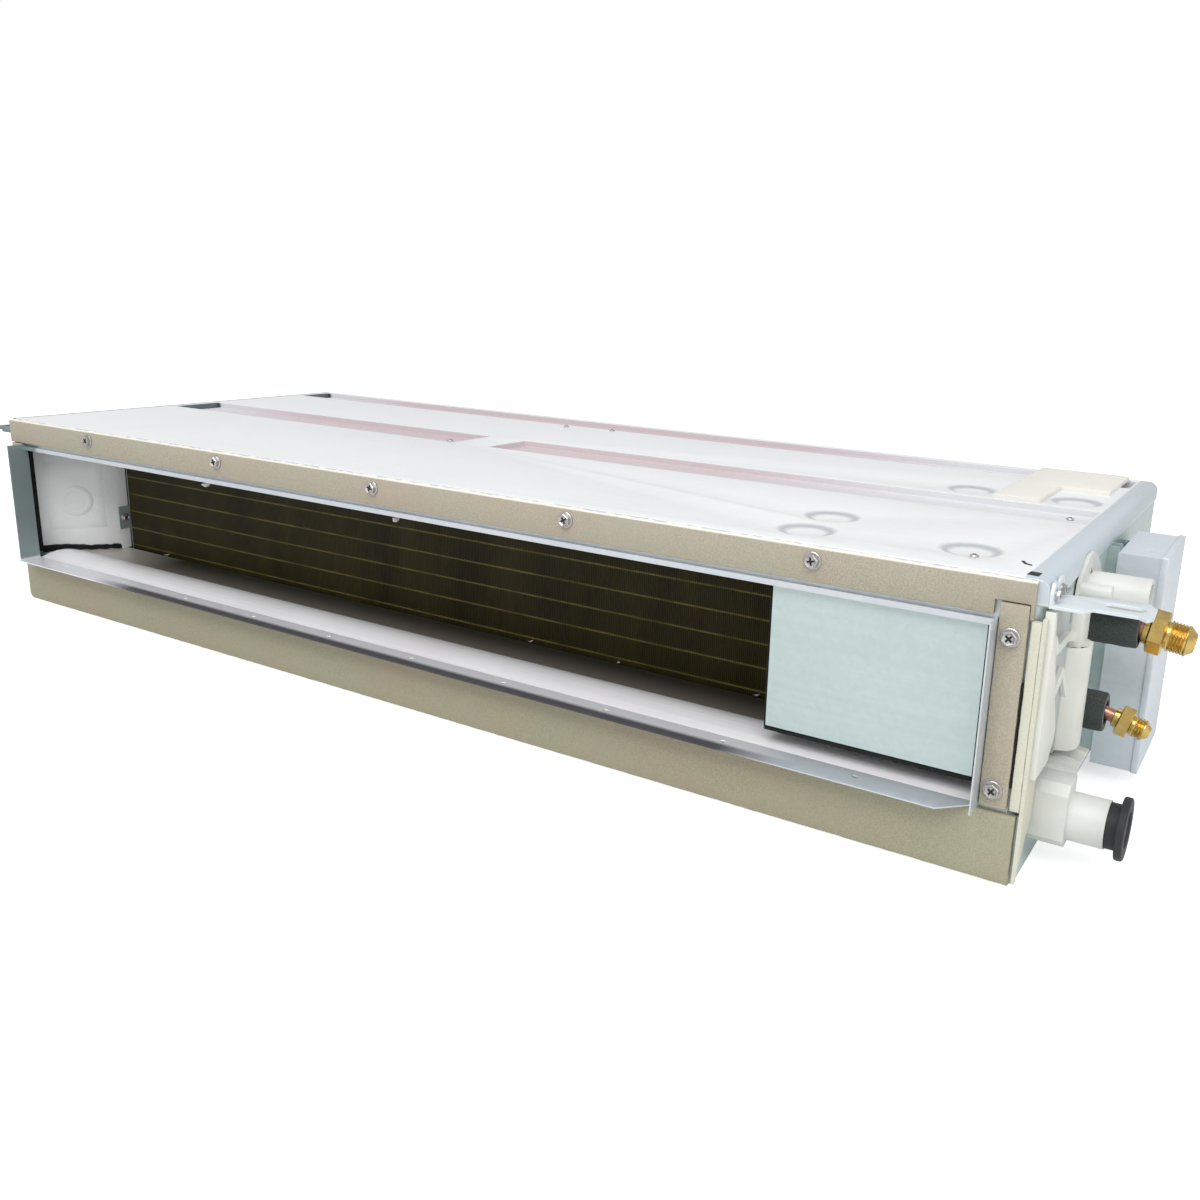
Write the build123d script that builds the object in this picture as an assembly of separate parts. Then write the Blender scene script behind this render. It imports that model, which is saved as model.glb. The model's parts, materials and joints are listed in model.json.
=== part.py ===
from build123d import *
import math
import os

# Ducted air conditioner indoor unit. All sizes are in millimetres.
# X runs from the closed end to the pipe side and Z is up from the underside.
# Y is worked out here as the depth behind the outlet face, and save() moves the
# finished piece so that the origin is the middle of the casing's underside.

# Number of flats on small and large round pieces that nothing turns or seals on
FEW_SIDES = 8
SOME_SIDES = 16
MANY_SIDES = 30

# Casing sheets
CASING_WIDTH = 1100.0
CASING_DEPTH = 440.0
CASING_HEIGHT = 200.0
SHEET = 1.0
RIM_RADIUS = 8.0
RIM_DROP = 16.0
CORNER_RADIUS = 8.0
FLANGE = 14.0
BASE_FLANGE = 8.0
BASE_FRONT_HEIGHT = 47.0
BEAD_RISE = 2.0
BEAD_WIDTH = 24.0
BEAD_END_GAP = 60.0
BEAD_DEPTHS = (60.0, 122.0, 275.0, 345.0)

# Stamped channels of the top panel, and its dimples as distance from the pipe side and depth
CHANNEL_DEPTH = 6.0
CHANNEL_END_GAP = 17.0
FRONT_CHANNEL_START = 190.0
FRONT_CHANNEL_WIDTH = 60.0
REAR_CHANNEL_SETBACK = 55.0
REAR_CHANNEL_WIDTH = 46.0
BRIDGE_X = -62.0
BRIDGE_WIDTH = 46.0
DIMPLE_RADIUS = 23.0
DIMPLE_ANGLE = 76.0
DIMPLE_SIDES = 14
DIMPLE_DEPTH = 2.5
DIMPLES = ((63.0, 54.0), (179.0, 95.0), (175.0, 40.0), (129.0, 284.0), (42.0, 284.0))

# Outlet collar, sill and blanking plate
COLLAR_SIDE_GAP = 28.0
COLLAR_DEPTH = 20.0
COLLAR_FLOOR_DEPTH = 22.0
COLLAR_FLOOR = 49.0
COLLAR_HEAD = 26.0
COLLAR_FLANGE = 19.0
COLLAR_FOOT = 47.0
LIP_DEPTH = 3.0
LIP_HEIGHT = 4.0
LIP_HEAD = 32.0
DUCT_HOLE_RADIUS = 2.25
DUCT_HOLE_PITCH = 100.0
DUCT_HOLE_SETBACK = 8.0
DUCT_HOLE_SHIFT = -8.0
SILL_DEPTH = 45.0
SILL_RISE = 4.5
BLANK_WIDTH = 146.0
BLANK_SIDE_GAP = 6.0
BLANK_BOTTOM = 65.0
BLANK_HEAD = 14.0
BLANK_FLANGE = 12.0

# Foam on the casing
FOAM = 4.0
STRIP_FOAM = 5.0
SIDE_FOAM = 2.5
FOAM_GAP = 0.3
BAND_SIDE_GAP = 6.0
BAND_HEAD = 25.0
PANEL_LEFT_GAP = 8.0
PANEL_RIGHT_GAP = 3.0
PANEL_CORNER = 6.0
STRIP_HEAD = 16.0
STRIP_BOTTOM = 51.0
STRIP_WIDTH = 21.0
STRIP_SLIT = 1.5
SIDE_FOAM_HEAD = 23.0
SIDE_FOAM_STEP = 72.0
PAD_THICK = 4.0
PAD_SIDE_GAPS = (103.0, 64.0, 24.0)
PAD_REAR_GAPS = (188.0, 109.0, 10.0)

# Coil
COIL_FRONT = 97.0
COIL_LEFT_GAP = 52.0
COIL_RIGHT_GAP = 120.0
TUBE_COLUMNS = 2
COLUMN_PITCH = 18.0
ROW_PITCH = 20.0
FIRST_TUBE_HEIGHT = 49.0
COIL_HEAD = 60.0
COIL_MARGIN = 6.0
TUBE_RADIUS = 3.5
COIL_PLATE = 1.5
PLATE_MARGIN = 3.0
BEND_REACH = 4.0
HEADER_RADIUS = 8.0
LIQUID_HEADER_RADIUS = 6.0

# Drain pan
PAN_TOP = 46.0
PAN_FRONT = 20.0
PAN_REAR_GAP = 6.0
PAN_WALL = 7.0
PAN_FLOOR = 8.0
TROUGH_MARGIN = 6.0
SUMP_GAP = 10.0
PAN_HOLE_RADIUS = 8.0

# Fan wheels, housings and drive
FAN_HEAD = 60.0
FAN_SIDE_ROOM = 530.0
FAN_LEFT_GAP = 35.0
BLADE_COUNT = 16
BLADE_DEPTH = 12.0
BLADE_THICK = 1.4
BLADE_LEAN = 5.0
BLADE_BELLY = 2.5
RING_THICK = 2.0
RING_DEPTH = 5.0
DISC_THICK = 2.0
HUB_RADIUS = 15.0
HUB_LENGTH = 26.0
SCROLL_GAP = 8.0
SCROLL_STEP = 8.5
SCROLL_CHORDS = 6
FAN_WALL = 2.0
FAN_END_GAP = 5.0
INLET_MARGIN = 15.0
FAN_GAP = 26.0
SHAFT_RADIUS = 5.0
SHAFT_FIT = 0.05
SHAFT_STUB = 40.0
MOTOR_LENGTH = 100.0
MOTOR_RADIUS = 46.0
MOTOR_CLEAR = 15.0
COUPLING_RADIUS = 12.0
COUPLING_LENGTH = 18.0
BEARING_RADIUS = 14.0
BEARING_LENGTH = 14.0
PARTITION_DEPTH = 214.0
AXLE_SETBACK = 102.0

# Filter and intake
FILTER_THICK = 8.0
FILTER_SIDE_GAP = 30.0
FILTER_HEAD = 30.0
FILTER_FRAME = 14.0
FILTER_BAYS = 6
FILTER_SETBACK = 14.0
FILTER_CLEAR = 0.4
MESH_THICK = 1.0
INTAKE_SIDE_GAP = 60.0
INTAKE_BOTTOM = 24.0
INTAKE_HEAD = 28.0
RAIL_LIP = 8.0

# Pipes, sleeves and fittings. They leave the side wall at one depth.
PIPE_DEPTH = 142.0
GAS_HEAD = 57.0
GAS_RADIUS = 7.94
GAS_THREAD_RADIUS = 11.1
GAS_THREAD_LENGTH = 19.0
GAS_HEX_FLATS = 27.0
GAS_HEX_LENGTH = 11.0
GAS_HEX_REACH = 42.0
GAS_TILT = 8.0
GAS_SLEEVE_RADIUS = 16.0
GAS_SLEEVE_LENGTH = 33.0
LIQUID_HEIGHT = 76.0
LIQUID_RADIUS = 4.76
LIQUID_THREAD_RADIUS = 7.9
LIQUID_THREAD_LENGTH = 13.0
LIQUID_HEX_FLATS = 19.0
LIQUID_HEX_LENGTH = 9.0
LIQUID_HEX_REACH = 31.0
LIQUID_TILT = 16.0
LIQUID_SLEEVE_RADIUS = 14.5
LIQUID_SLEEVE_LENGTH = 21.0
SLEEVE_GAP = 0.8

# Moulded pipe cover and drip shelf. The raised outlines are depth and height above the
# cover's bottom, drawn for a cover of the drawn height, and they stretch with the cover.
COVER_PLATE = 2.5
COVER_FRONT = 1.0
COVER_REAR_REACH = 36.0
COVER_HEAD = 19.0
COVER_BOTTOM = 66.0
COVER_DRAWN_HEIGHT = 115.0
COVER_BAND_RAISE = 3.5
COVER_BAND = (
    (1.0, 7.0),
    (1.0, 115.0),
    (7.0, 115.0),
    (9.0, 99.0),
    (20.0, 77.0),
    (27.0, 64.0),
    (31.0, 54.0),
    (47.0, 27.0),
    (46.0, 20.0),
    (34.0, 7.0),
)
COVER_ARCH_RAISE = 4.5
COVER_ARCH = (
    (7.0, 100.0),
    (18.0, 91.0),
    (49.0, 91.0),
    (72.0, 85.0),
    (72.0, 79.0),
    (49.0, 85.0),
    (20.0, 85.0),
    (14.0, 85.0),
)
COVER_RIB_RAISE = 3.5
COVER_RIB = (
    (27.0, 58.0),
    (48.0, 68.0),
    (54.0, 64.0),
    (70.0, 46.0),
    (70.0, 40.0),
    (50.0, 60.0),
    (29.0, 51.0),
)
COLUMN_FRONT = 68.0
COLUMN_REAR = 96.0
COLUMN_REACH = 13.0
COLUMN_SLIM_REACH = 8.0
COLUMN_STEP = 141.0
COLUMN_HEAD = 33.0
SHELF_FRONT = 51.0
SHELF_REAR = 106.0
SHELF_TOP = 63.0
SHELF_DROP = 3.0
SHELF_REACH = 20.0
SHELF_THICK = 2.0
SHELF_RIBS = 3

# Drain socket, plug and pump
DRAIN_DEPTH = 43.0
DRAIN_HEIGHT = 37.0
DRAIN_RADIUS = 16.0
DRAIN_BORE = 12.5
BOSS_FRONT = 24.0
BOSS_REAR = 50.0
BOSS_BOTTOM = 20.0
BOSS_TOP = 63.0
BOSS_REACH = 23.0
BOSS_CHAMFER = 6.0
SOCKET_REACH = 46.0
PLUG_NECK_RADIUS = 15.0
PLUG_NECK = 7.0
PLUG_FLANGE_RADIUS = 20.5
PLUG_FLANGE = 5.0
PLUG_INSERT = 16.0
PLUG_FIT = 0.1
PUMP_SIDE_GAP = 60.0
PUMP_REAR_GAP = 8.0
PUMP_RADIUS = 24.0
PUMP_BOTTOM = 52.0
PUMP_HEAD = 78.0
SNOUT_RADIUS = 14.0
OUTLET_DROP = 30.0
OUTLET_SETBACK = 22.0
OUTLET_RADIUS = 12.5
OUTLET_COLLAR = 14.0
OUTLET_BORE = 9.5
OUTLET_REACH = 43.0
LUG_THICK = 2.5
LUG_OUTLINE = (
    (-38.0, 0.0),
    (-34.0, 12.0),
    (-24.0, 18.0),
    (-10.0, 25.0),
    (4.0, 25.0),
    (18.0, 20.0),
    (36.0, 10.0),
    (45.0, 2.0),
    (45.0, -2.0),
    (-38.0, -2.0),
)
NUB_RADIUS = 5.0
NUB_LENGTH = 22.0
NUB_DEPTH = -31.0
NUB_HEIGHT = 6.0
FLOAT_SIDE_GAP = 35.0
FLOAT_DEPTH = 66.0
FLOAT_RADIUS = 11.0
FLOAT_HEIGHT = 18.0
STEM_RADIUS = 2.5
STEM_GAP = 0.3

# Control box
BOX_STANDOFF = 7.0
BOX_THICK = 35.0
BOX_FRONT = 200.0
BOX_LENGTH = 97.0
BOX_BOTTOM = 12.0
BOX_HEAD = 20.0
COVER_WRAP = 5.0
BRACKET_DEPTH = 14.0
BOARD_THICK = 1.6
BOARD_MARGIN = 8.0
GROMMET_WIDTH = 26.0
GROMMET_HEIGHT = 14.0
GROMMET_WALL = 2.5
GROMMET_PITCH = 54.0

# Hanger brackets. The outline is distance from the wall and depth.
HANGER_THICK = 2.0
HANGER_HEAD = 17.0
HANGER_LEG = 15.0
HANGER_LEG_WIDTH = 32.0
HANGER_OUTLINE = (
    (0.0, 1.5),
    (19.5, 1.5),
    (24.0, 9.5),
    (49.0, 10.0),
    (54.0, 5.0),
    (57.0, 11.0),
    (56.0, 33.0),
    (51.0, 43.0),
    (26.0, 40.0),
    (7.0, 34.5),
    (0.0, 34.0),
)
SLOT_WIDTH = 11.0
SLOT_LENGTH = 24.0
SLOT_REACH = 39.0
SLOT_DEPTH = 25.0
REAR_HANGER_GAP = 50.0

# Worked out from the sizes above
HALF_WIDTH = CASING_WIDTH / 2
WALL_FACE = HALF_WIDTH - SHEET
WALL_INSIDE = WALL_FACE - SHEET
SKIN_FRONT = SHEET
SIDE_FRONT = SKIN_FRONT + SHEET
SKIN_REAR = CASING_DEPTH - SHEET
REAR_PANEL_FRONT = SKIN_REAR - SHEET
RIM_BOTTOM = CASING_HEIGHT - RIM_DROP
SIDE_TOP = CASING_HEIGHT - RIM_RADIUS - SHEET
BEAD_TOP = SHEET + BEAD_RISE
REAR_CHANNEL_START = CASING_DEPTH - REAR_CHANNEL_SETBACK
COLLAR_HALF_WIDTH = HALF_WIDTH - COLLAR_SIDE_GAP
COLLAR_TOP = CASING_HEIGHT - COLLAR_HEAD
LIP_BOTTOM = CASING_HEIGHT - LIP_HEAD
DUCT_HOLE_COUNT = int(2 * COLLAR_HALF_WIDTH / DUCT_HOLE_PITCH)
BLANK_RIGHT = COLLAR_HALF_WIDTH - BLANK_SIDE_GAP
BLANK_LEFT = BLANK_RIGHT - BLANK_WIDTH
BAND_BOTTOM = CASING_HEIGHT - BAND_HEAD
STRIP_EDGE = COLLAR_HALF_WIDTH + COLLAR_FLANGE
STRIP_TOP = CASING_HEIGHT - STRIP_HEAD
SIDE_FOAM_TOP = CASING_HEIGHT - SIDE_FOAM_HEAD
COIL_LEFT = COIL_LEFT_GAP - HALF_WIDTH
COIL_RIGHT = HALF_WIDTH - COIL_RIGHT_GAP
TUBE_ROWS = int((CASING_HEIGHT - COIL_HEAD) / ROW_PITCH)
COIL_REAR = COIL_FRONT + TUBE_COLUMNS * COLUMN_PITCH
COIL_BOTTOM = FIRST_TUBE_HEIGHT - COIL_MARGIN
COIL_TOP = FIRST_TUBE_HEIGHT + (TUBE_ROWS - 0.5) * ROW_PITCH + COIL_MARGIN
LEFT_PLATE = COIL_LEFT - COIL_PLATE
RIGHT_PLATE = COIL_RIGHT + COIL_PLATE
TUBE_RIGHT = RIGHT_PLATE + BEND_REACH
PAN_REAR = PARTITION_DEPTH - PAN_REAR_GAP
SUMP_LEFT = COIL_RIGHT + SUMP_GAP
WHEEL_RADIUS = (CASING_HEIGHT - FAN_HEAD) / 2
WHEEL_LENGTH = (CASING_WIDTH - FAN_SIDE_ROOM) / 3
INLET_RADIUS = WHEEL_RADIUS - INLET_MARGIN
SCROLL_START = WHEEL_RADIUS + SCROLL_GAP
SCROLL_END = SCROLL_START + 2 * SCROLL_STEP
PARTITION_REAR = PARTITION_DEPTH + SHEET
AXLE_DEPTH = PARTITION_REAR + AXLE_SETBACK
AXLE_HEIGHT = BEAD_TOP + FAN_WALL + SCROLL_END + 0.75 * SCROLL_STEP
HOUSING_INSIDE = WHEEL_LENGTH + 2 * FAN_END_GAP
HOUSING_LENGTH = HOUSING_INSIDE + 2 * FAN_WALL
WINDOW_TOP = AXLE_HEIGHT + SCROLL_STEP / 4 + 2 * FAN_WALL
MOTOR_TO_FAN = MOTOR_LENGTH / 2 + MOTOR_CLEAR + HOUSING_LENGTH / 2
FAN_1_X = FAN_LEFT_GAP - HALF_WIDTH + HOUSING_LENGTH / 2
FAN_2_X = FAN_1_X + HOUSING_LENGTH + FAN_GAP
MOTOR_CENTRE = FAN_2_X + MOTOR_TO_FAN
FAN_3_X = MOTOR_CENTRE + MOTOR_TO_FAN
FAN_PLACES = (FAN_1_X, FAN_2_X, FAN_3_X)
COUPLING_X = (FAN_1_X + FAN_2_X) / 2
BEARING_X = FAN_1_X - HOUSING_LENGTH / 2 - BEARING_LENGTH / 2
FILTER_HALF = HALF_WIDTH - FILTER_SIDE_GAP
FILTER_HEIGHT = CASING_HEIGHT - FILTER_HEAD
FILTER_REAR = REAR_PANEL_FRONT - FILTER_SETBACK + FILTER_THICK
FILTER_FRONT = FILTER_REAR - FILTER_THICK
FILTER_BOTTOM = (SIDE_TOP + SHEET - FILTER_HEIGHT) / 2
INTAKE_HALF_WIDTH = HALF_WIDTH - INTAKE_SIDE_GAP
INTAKE_TOP = CASING_HEIGHT - INTAKE_HEAD
GAS_HEIGHT = CASING_HEIGHT - GAS_HEAD
COVER_FACE = WALL_FACE + COVER_PLATE
COVER_REAR = PIPE_DEPTH + COVER_REAR_REACH
COVER_TOP = CASING_HEIGHT - COVER_HEAD
COLUMN_TOP = CASING_HEIGHT - COLUMN_HEAD
SOCKET_END = WALL_FACE + SOCKET_REACH
PUMP_X = HALF_WIDTH - PUMP_SIDE_GAP
PUMP_DEPTH = PARTITION_DEPTH - PUMP_REAR_GAP - PUMP_RADIUS
PUMP_TOP = CASING_HEIGHT - PUMP_HEAD
OUTLET_DEPTH = PIPE_DEPTH - OUTLET_SETBACK
OUTLET_HEIGHT = CASING_HEIGHT - OUTLET_DROP
COVER_LOW_TOP = OUTLET_HEIGHT - OUTLET_COLLAR - FOAM_GAP
FLOAT_X = HALF_WIDTH - FLOAT_SIDE_GAP
BOX_BACK = HALF_WIDTH + BOX_STANDOFF
BOX_FACE = BOX_BACK + BOX_THICK
BOX_REAR = BOX_FRONT + BOX_LENGTH
BOX_TOP = CASING_HEIGHT - BOX_HEAD
HANGER_HEIGHT = CASING_HEIGHT - HANGER_HEAD
REAR_HANGER_X = HALF_WIDTH - REAR_HANGER_GAP


def block(x0, x1, y0, y1, z0, z1):
    """A box between two faces on each axis."""
    centre = Pos((x0 + x1) / 2, (y0 + y1) / 2, (z0 + z1) / 2)
    return centre * Box(x1 - x0, y1 - y0, z1 - z0)


def rod_x(x0, x1, depth, height, radius):
    """A round bar along X."""
    return Pos((x0 + x1) / 2, depth, height) * Rot(0, 90, 0) * Cylinder(radius, x1 - x0)


def prism_x(x0, x1, depth, height, radius, sides):
    """A bar along X with flat sides. Its corners lie on the radius."""
    section = Plane.YZ * RegularPolygon(radius, sides)
    return Pos(x0, depth, height) * extrude(section, x1 - x0)


def rod_z(x, depth, z0, z1, radius):
    """A round bar along Z."""
    return Pos(x, depth, (z0 + z1) / 2) * Cylinder(radius, z1 - z0)


def prism_z(x, depth, z0, z1, radius, sides):
    """A bar along Z with flat sides."""
    return Pos(x, depth, z0) * extrude(RegularPolygon(radius, sides), z1 - z0)


def slab_x(x0, x1, outline):
    """An outline of (depth, height) points, with straight sides, as thick as x0 to x1."""
    face = Plane.YZ * make_face(Polyline(*outline, close=True))
    return Pos(x0, 0, 0) * extrude(face, x1 - x0)


def slab_y(y0, y1, outline):
    """An outline of (x, height) points, with straight sides, from depth y0 to y1."""
    face = Plane.XZ * make_face(Polyline(*outline, close=True))
    return Pos(0, y1, 0) * extrude(face, y1 - y0)


def slab_z(z0, z1, outline):
    """An outline of (x, depth) points, with straight sides, as thick as z0 to z1."""
    return Pos(0, 0, z0) * extrude(make_face(Polyline(*outline, close=True)), z1 - z0)


def round_edges(shape, axis, radius):
    """Rounds every edge of the shape that runs along one axis."""
    return fillet(shape.edges().filter_by(axis), radius)


def group(pieces):
    """Separate solids that share one node."""
    return Compound(children=[piece if isinstance(piece, Solid) else piece.solid() for piece in pieces])


def mirrored(shape):
    """The same piece on the closed end."""
    return mirror(shape, about=Plane.YZ)


def save(name, shape):
    """Writes one node, moved so that the origin is the middle of the casing's underside."""
    shift = Pos(0, -CASING_DEPTH / 2, 0)
    solids = [shift * solid for solid in shape.solids()]
    whole = solids[0] if len(solids) == 1 else Compound(children=solids)
    export_step(whole, f"parts/{name}.step")


# Casing


def rimmed_block(half_width, y0, y1, z0, z1, radius):
    """A block with its two long top edges rounded."""
    whole = block(-half_width, half_width, y0, y1, z0, z1)
    rims = whole.edges().filter_by(Axis.Y).group_by(Axis.Z)[-1]
    return fillet(rims, radius)


def channel(x0, x1, y0, y1, grow):
    """The hollow of one stamped channel, or of its underside when it is grown by the sheet."""
    z0 = CASING_HEIGHT - CHANNEL_DEPTH - grow
    return block(x0 - grow, x1 + grow, y0 - grow, y1 + grow, z0, CASING_HEIGHT + SHEET)


def top_hollows(grow):
    """Everything that is stamped down into the top panel."""
    end = HALF_WIDTH - CHANNEL_END_GAP
    front_end = FRONT_CHANNEL_START + FRONT_CHANNEL_WIDTH
    rear_end = REAR_CHANNEL_START + REAR_CHANNEL_WIDTH
    bridge_left = BRIDGE_X - BRIDGE_WIDTH / 2
    bridge_right = BRIDGE_X + BRIDGE_WIDTH / 2
    hollows = [
        channel(-end, bridge_left, FRONT_CHANNEL_START, front_end, grow),
        channel(bridge_right, end, FRONT_CHANNEL_START, front_end, grow),
        channel(-end, end, REAR_CHANNEL_START, rear_end, grow),
    ]
    rim = Rot(180, 0, 0) * RegularPolygon(DIMPLE_RADIUS + grow, DIMPLE_SIDES)
    dish = extrude(rim, DIMPLE_DEPTH, taper=DIMPLE_ANGLE)
    hollows += [Pos(HALF_WIDTH - gap, depth, CASING_HEIGHT - grow) * dish for gap, depth in DIMPLES]
    return hollows


def top_panel():
    outer = rimmed_block(HALF_WIDTH, SKIN_FRONT, CASING_DEPTH, RIM_BOTTOM, CASING_HEIGHT, RIM_RADIUS)
    inner = rimmed_block(
        WALL_FACE,
        SIDE_FRONT,
        SKIN_REAR,
        RIM_BOTTOM - SHEET,
        CASING_HEIGHT - SHEET,
        RIM_RADIUS - SHEET,
    )
    outer -= top_hollows(0)
    inner -= top_hollows(SHEET)
    return outer - inner


def base_panel():
    side_flange = WALL_INSIDE - SHEET
    flange_front = SIDE_FRONT + CORNER_RADIUS + SHEET
    flange_rear = REAR_PANEL_FRONT - SHEET
    panel = block(-WALL_FACE, WALL_FACE, SKIN_FRONT, SKIN_REAR, 0, SHEET)
    panel += block(-WALL_FACE, WALL_FACE, SKIN_FRONT, SIDE_FRONT, 0, BASE_FRONT_HEIGHT)
    panel += block(-side_flange, side_flange, flange_rear, REAR_PANEL_FRONT, 0, BASE_FLANGE)
    for side in (-1, 1):
        x0, x1 = sorted((side * side_flange, side * WALL_INSIDE))
        panel += block(x0, x1, flange_front, REAR_PANEL_FRONT, 0, BASE_FLANGE)
    half = HALF_WIDTH - BEAD_END_GAP
    for depth in BEAD_DEPTHS:
        y0, y1 = depth - BEAD_WIDTH / 2, depth + BEAD_WIDTH / 2
        panel += block(-half, half, y0, y1, 0, BEAD_TOP)
        panel -= block(-half + SHEET, half - SHEET, y0 + SHEET, y1 - SHEET, 0, BEAD_RISE)
    return panel


def side_panel():
    """The pipe side's wall, with turned-in front and top flanges, before any opening."""
    inside = WALL_FACE - FLANGE
    outer = block(inside, WALL_FACE, SIDE_FRONT, SKIN_REAR, SHEET, SIDE_TOP)
    outer = fillet(outer.edges().filter_by(Axis.Z).sort_by(Axis.X)[-2:].sort_by(Axis.Y)[0], CORNER_RADIUS)
    inner = block(inside, WALL_INSIDE, SIDE_FRONT + SHEET, SKIN_REAR, SHEET, SIDE_TOP - SHEET)
    corner = inner.edges().filter_by(Axis.Z).sort_by(Axis.X)[-2:].sort_by(Axis.Y)[0]
    return outer - fillet(corner, CORNER_RADIUS - SHEET)


def filter_passage():
    """The slot in the closed end's wall that the filter slides through."""
    clear = FILTER_CLEAR
    top = FILTER_BOTTOM + FILTER_HEIGHT + clear
    return block(
        -HALF_WIDTH,
        -WALL_FACE + FLANGE + SHEET,
        FILTER_FRONT - clear,
        FILTER_REAR + clear,
        FILTER_BOTTOM - clear,
        top,
    )


def left_side_panel():
    return mirrored(side_panel()) - filter_passage()


def right_side_panel():
    """The pipes leave through one window behind their cover."""
    panel = side_panel()
    through = (WALL_INSIDE - SHEET, HALF_WIDTH)
    margin = 2 * COVER_PLATE
    panel -= block(
        *through,
        SHELF_FRONT + margin,
        COVER_REAR - margin,
        SHELF_TOP - margin / 2,
        COVER_LOW_TOP - margin / 2,
    )
    panel -= rod_x(*through, DRAIN_DEPTH, DRAIN_HEIGHT, DRAIN_RADIUS)
    panel -= rod_x(*through, OUTLET_DEPTH, OUTLET_HEIGHT, OUTLET_RADIUS)
    for height in grommet_heights():
        panel -= grommet_block(*through, height, 0)
    return panel


def rear_panel():
    panel = block(-WALL_INSIDE, WALL_INSIDE, REAR_PANEL_FRONT, SKIN_REAR, SHEET, SIDE_TOP - SHEET)
    panel -= block(
        -INTAKE_HALF_WIDTH,
        INTAKE_HALF_WIDTH,
        REAR_PANEL_FRONT - SHEET,
        CASING_DEPTH,
        INTAKE_BOTTOM,
        INTAKE_TOP,
    )
    rail_front = FILTER_FRONT - FILTER_CLEAR - SHEET
    lower = FILTER_BOTTOM - FILTER_CLEAR
    upper = FILTER_BOTTOM + FILTER_HEIGHT + FILTER_CLEAR
    for shelf, lip_end in ((lower - SHEET, lower + RAIL_LIP), (upper, upper - RAIL_LIP)):
        lip_low, lip_high = sorted((shelf, lip_end))
        panel += block(-FILTER_HALF, FILTER_HALF, rail_front, REAR_PANEL_FRONT, shelf, shelf + SHEET)
        panel += block(-FILTER_HALF, FILTER_HALF, rail_front, rail_front + SHEET, lip_low, lip_high)
    return panel


# Outlet


def duct_hole_places():
    first = DUCT_HOLE_SHIFT - DUCT_HOLE_PITCH * (DUCT_HOLE_COUNT - 1) / 2
    return [first + DUCT_HOLE_PITCH * i for i in range(DUCT_HOLE_COUNT)]


def outlet_collar():
    half = COLLAR_HALF_WIDTH
    floor_bottom = COLLAR_FLOOR - SHEET
    foot = floor_bottom - COLLAR_FOOT
    collar = block(-STRIP_EDGE, STRIP_EDGE, 0, SHEET, foot, CASING_HEIGHT - SHEET)
    collar -= block(-half, half, -SHEET, 2 * SHEET, COLLAR_FLOOR, LIP_BOTTOM)
    collar += block(-half, half, -LIP_DEPTH, 0, LIP_BOTTOM, LIP_BOTTOM + LIP_HEIGHT)
    mitre = half + SHEET - COLLAR_FLOOR_DEPTH
    floor_outline = [
        (-half - SHEET, 0),
        (-half - SHEET, -COLLAR_FLOOR_DEPTH),
        (mitre, -COLLAR_FLOOR_DEPTH),
        (half + SHEET, 0),
    ]
    collar += slab_z(floor_bottom, COLLAR_FLOOR, floor_outline)
    for side in (-1, 1):
        x0, x1 = sorted((side * half, side * (half + SHEET)))
        collar += block(x0, x1, -COLLAR_DEPTH, 0, COLLAR_FLOOR, COLLAR_TOP)
    for x in duct_hole_places():
        collar -= rod_z(x, -DUCT_HOLE_SETBACK, floor_bottom - 1, COLLAR_FLOOR + 1, DUCT_HOLE_RADIUS)
    return collar


def outlet_sill():
    """A convex strip, rolled from sheet, that runs from the collar to the pan."""
    start = SKIN_FRONT
    end = SKIN_FRONT + SILL_DEPTH
    middle = (start + end) / 2
    low = BASE_FRONT_HEIGHT
    top = low + SHEET
    crown = ThreePointArc((start, top), (middle, top + SILL_RISE), (end, top))
    belly = ThreePointArc((end, low), (middle, low + SILL_RISE), (start, low))
    edge = [crown, Line((end, top), (end, low)), belly, Line((start, low), (start, top))]
    half = COLLAR_HALF_WIDTH - SHEET
    return Pos(-half, 0, 0) * extrude(Plane.YZ * make_face(edge), 2 * half)


def blanking_plate():
    front = SIDE_FRONT
    back = front + SHEET
    top = CASING_HEIGHT - BLANK_HEAD
    plate = block(BLANK_LEFT, BLANK_RIGHT, front, back, BLANK_BOTTOM, top)
    plate += block(BLANK_LEFT, BLANK_LEFT + SHEET, back, back + BLANK_FLANGE, BLANK_BOTTOM, top)
    plate += block(BLANK_LEFT, BLANK_RIGHT, back, back + BLANK_FLANGE, BLANK_BOTTOM, BLANK_BOTTOM + SHEET)
    return plate


# Foam


def top_foam_band():
    half = HALF_WIDTH - BAND_SIDE_GAP
    band = block(-half, half, -FOAM, 0, BAND_BOTTOM, CASING_HEIGHT)
    outer = STRIP_EDGE + FOAM_GAP
    inner = STRIP_EDGE - STRIP_WIDTH - FOAM_GAP
    return band - block(inner, outer, -FOAM - 1, 1, BAND_BOTTOM - 1, STRIP_TOP + FOAM_GAP)


def lower_foam_panel():
    top = COLLAR_FLOOR - SHEET - FOAM_GAP
    panel = block(PANEL_LEFT_GAP - HALF_WIDTH, HALF_WIDTH - PANEL_RIGHT_GAP, -FOAM, 0, 0, top)
    corner = panel.edges().filter_by(Axis.Y).group_by(Axis.Z)[0].sort_by(Axis.X)[0]
    return fillet(corner, PANEL_CORNER)


def corner_foam_strips():
    """The strip on the pipe side is wider and reaches up into the band."""
    inner = COLLAR_HALF_WIDTH + SHEET + FOAM_GAP
    left = block(-STRIP_EDGE, -inner, -STRIP_FOAM, 0, STRIP_BOTTOM, BAND_BOTTOM - FOAM_GAP)
    right = block(inner, STRIP_EDGE, -STRIP_FOAM, 0, STRIP_BOTTOM, STRIP_TOP)
    return group([left, right])


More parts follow.
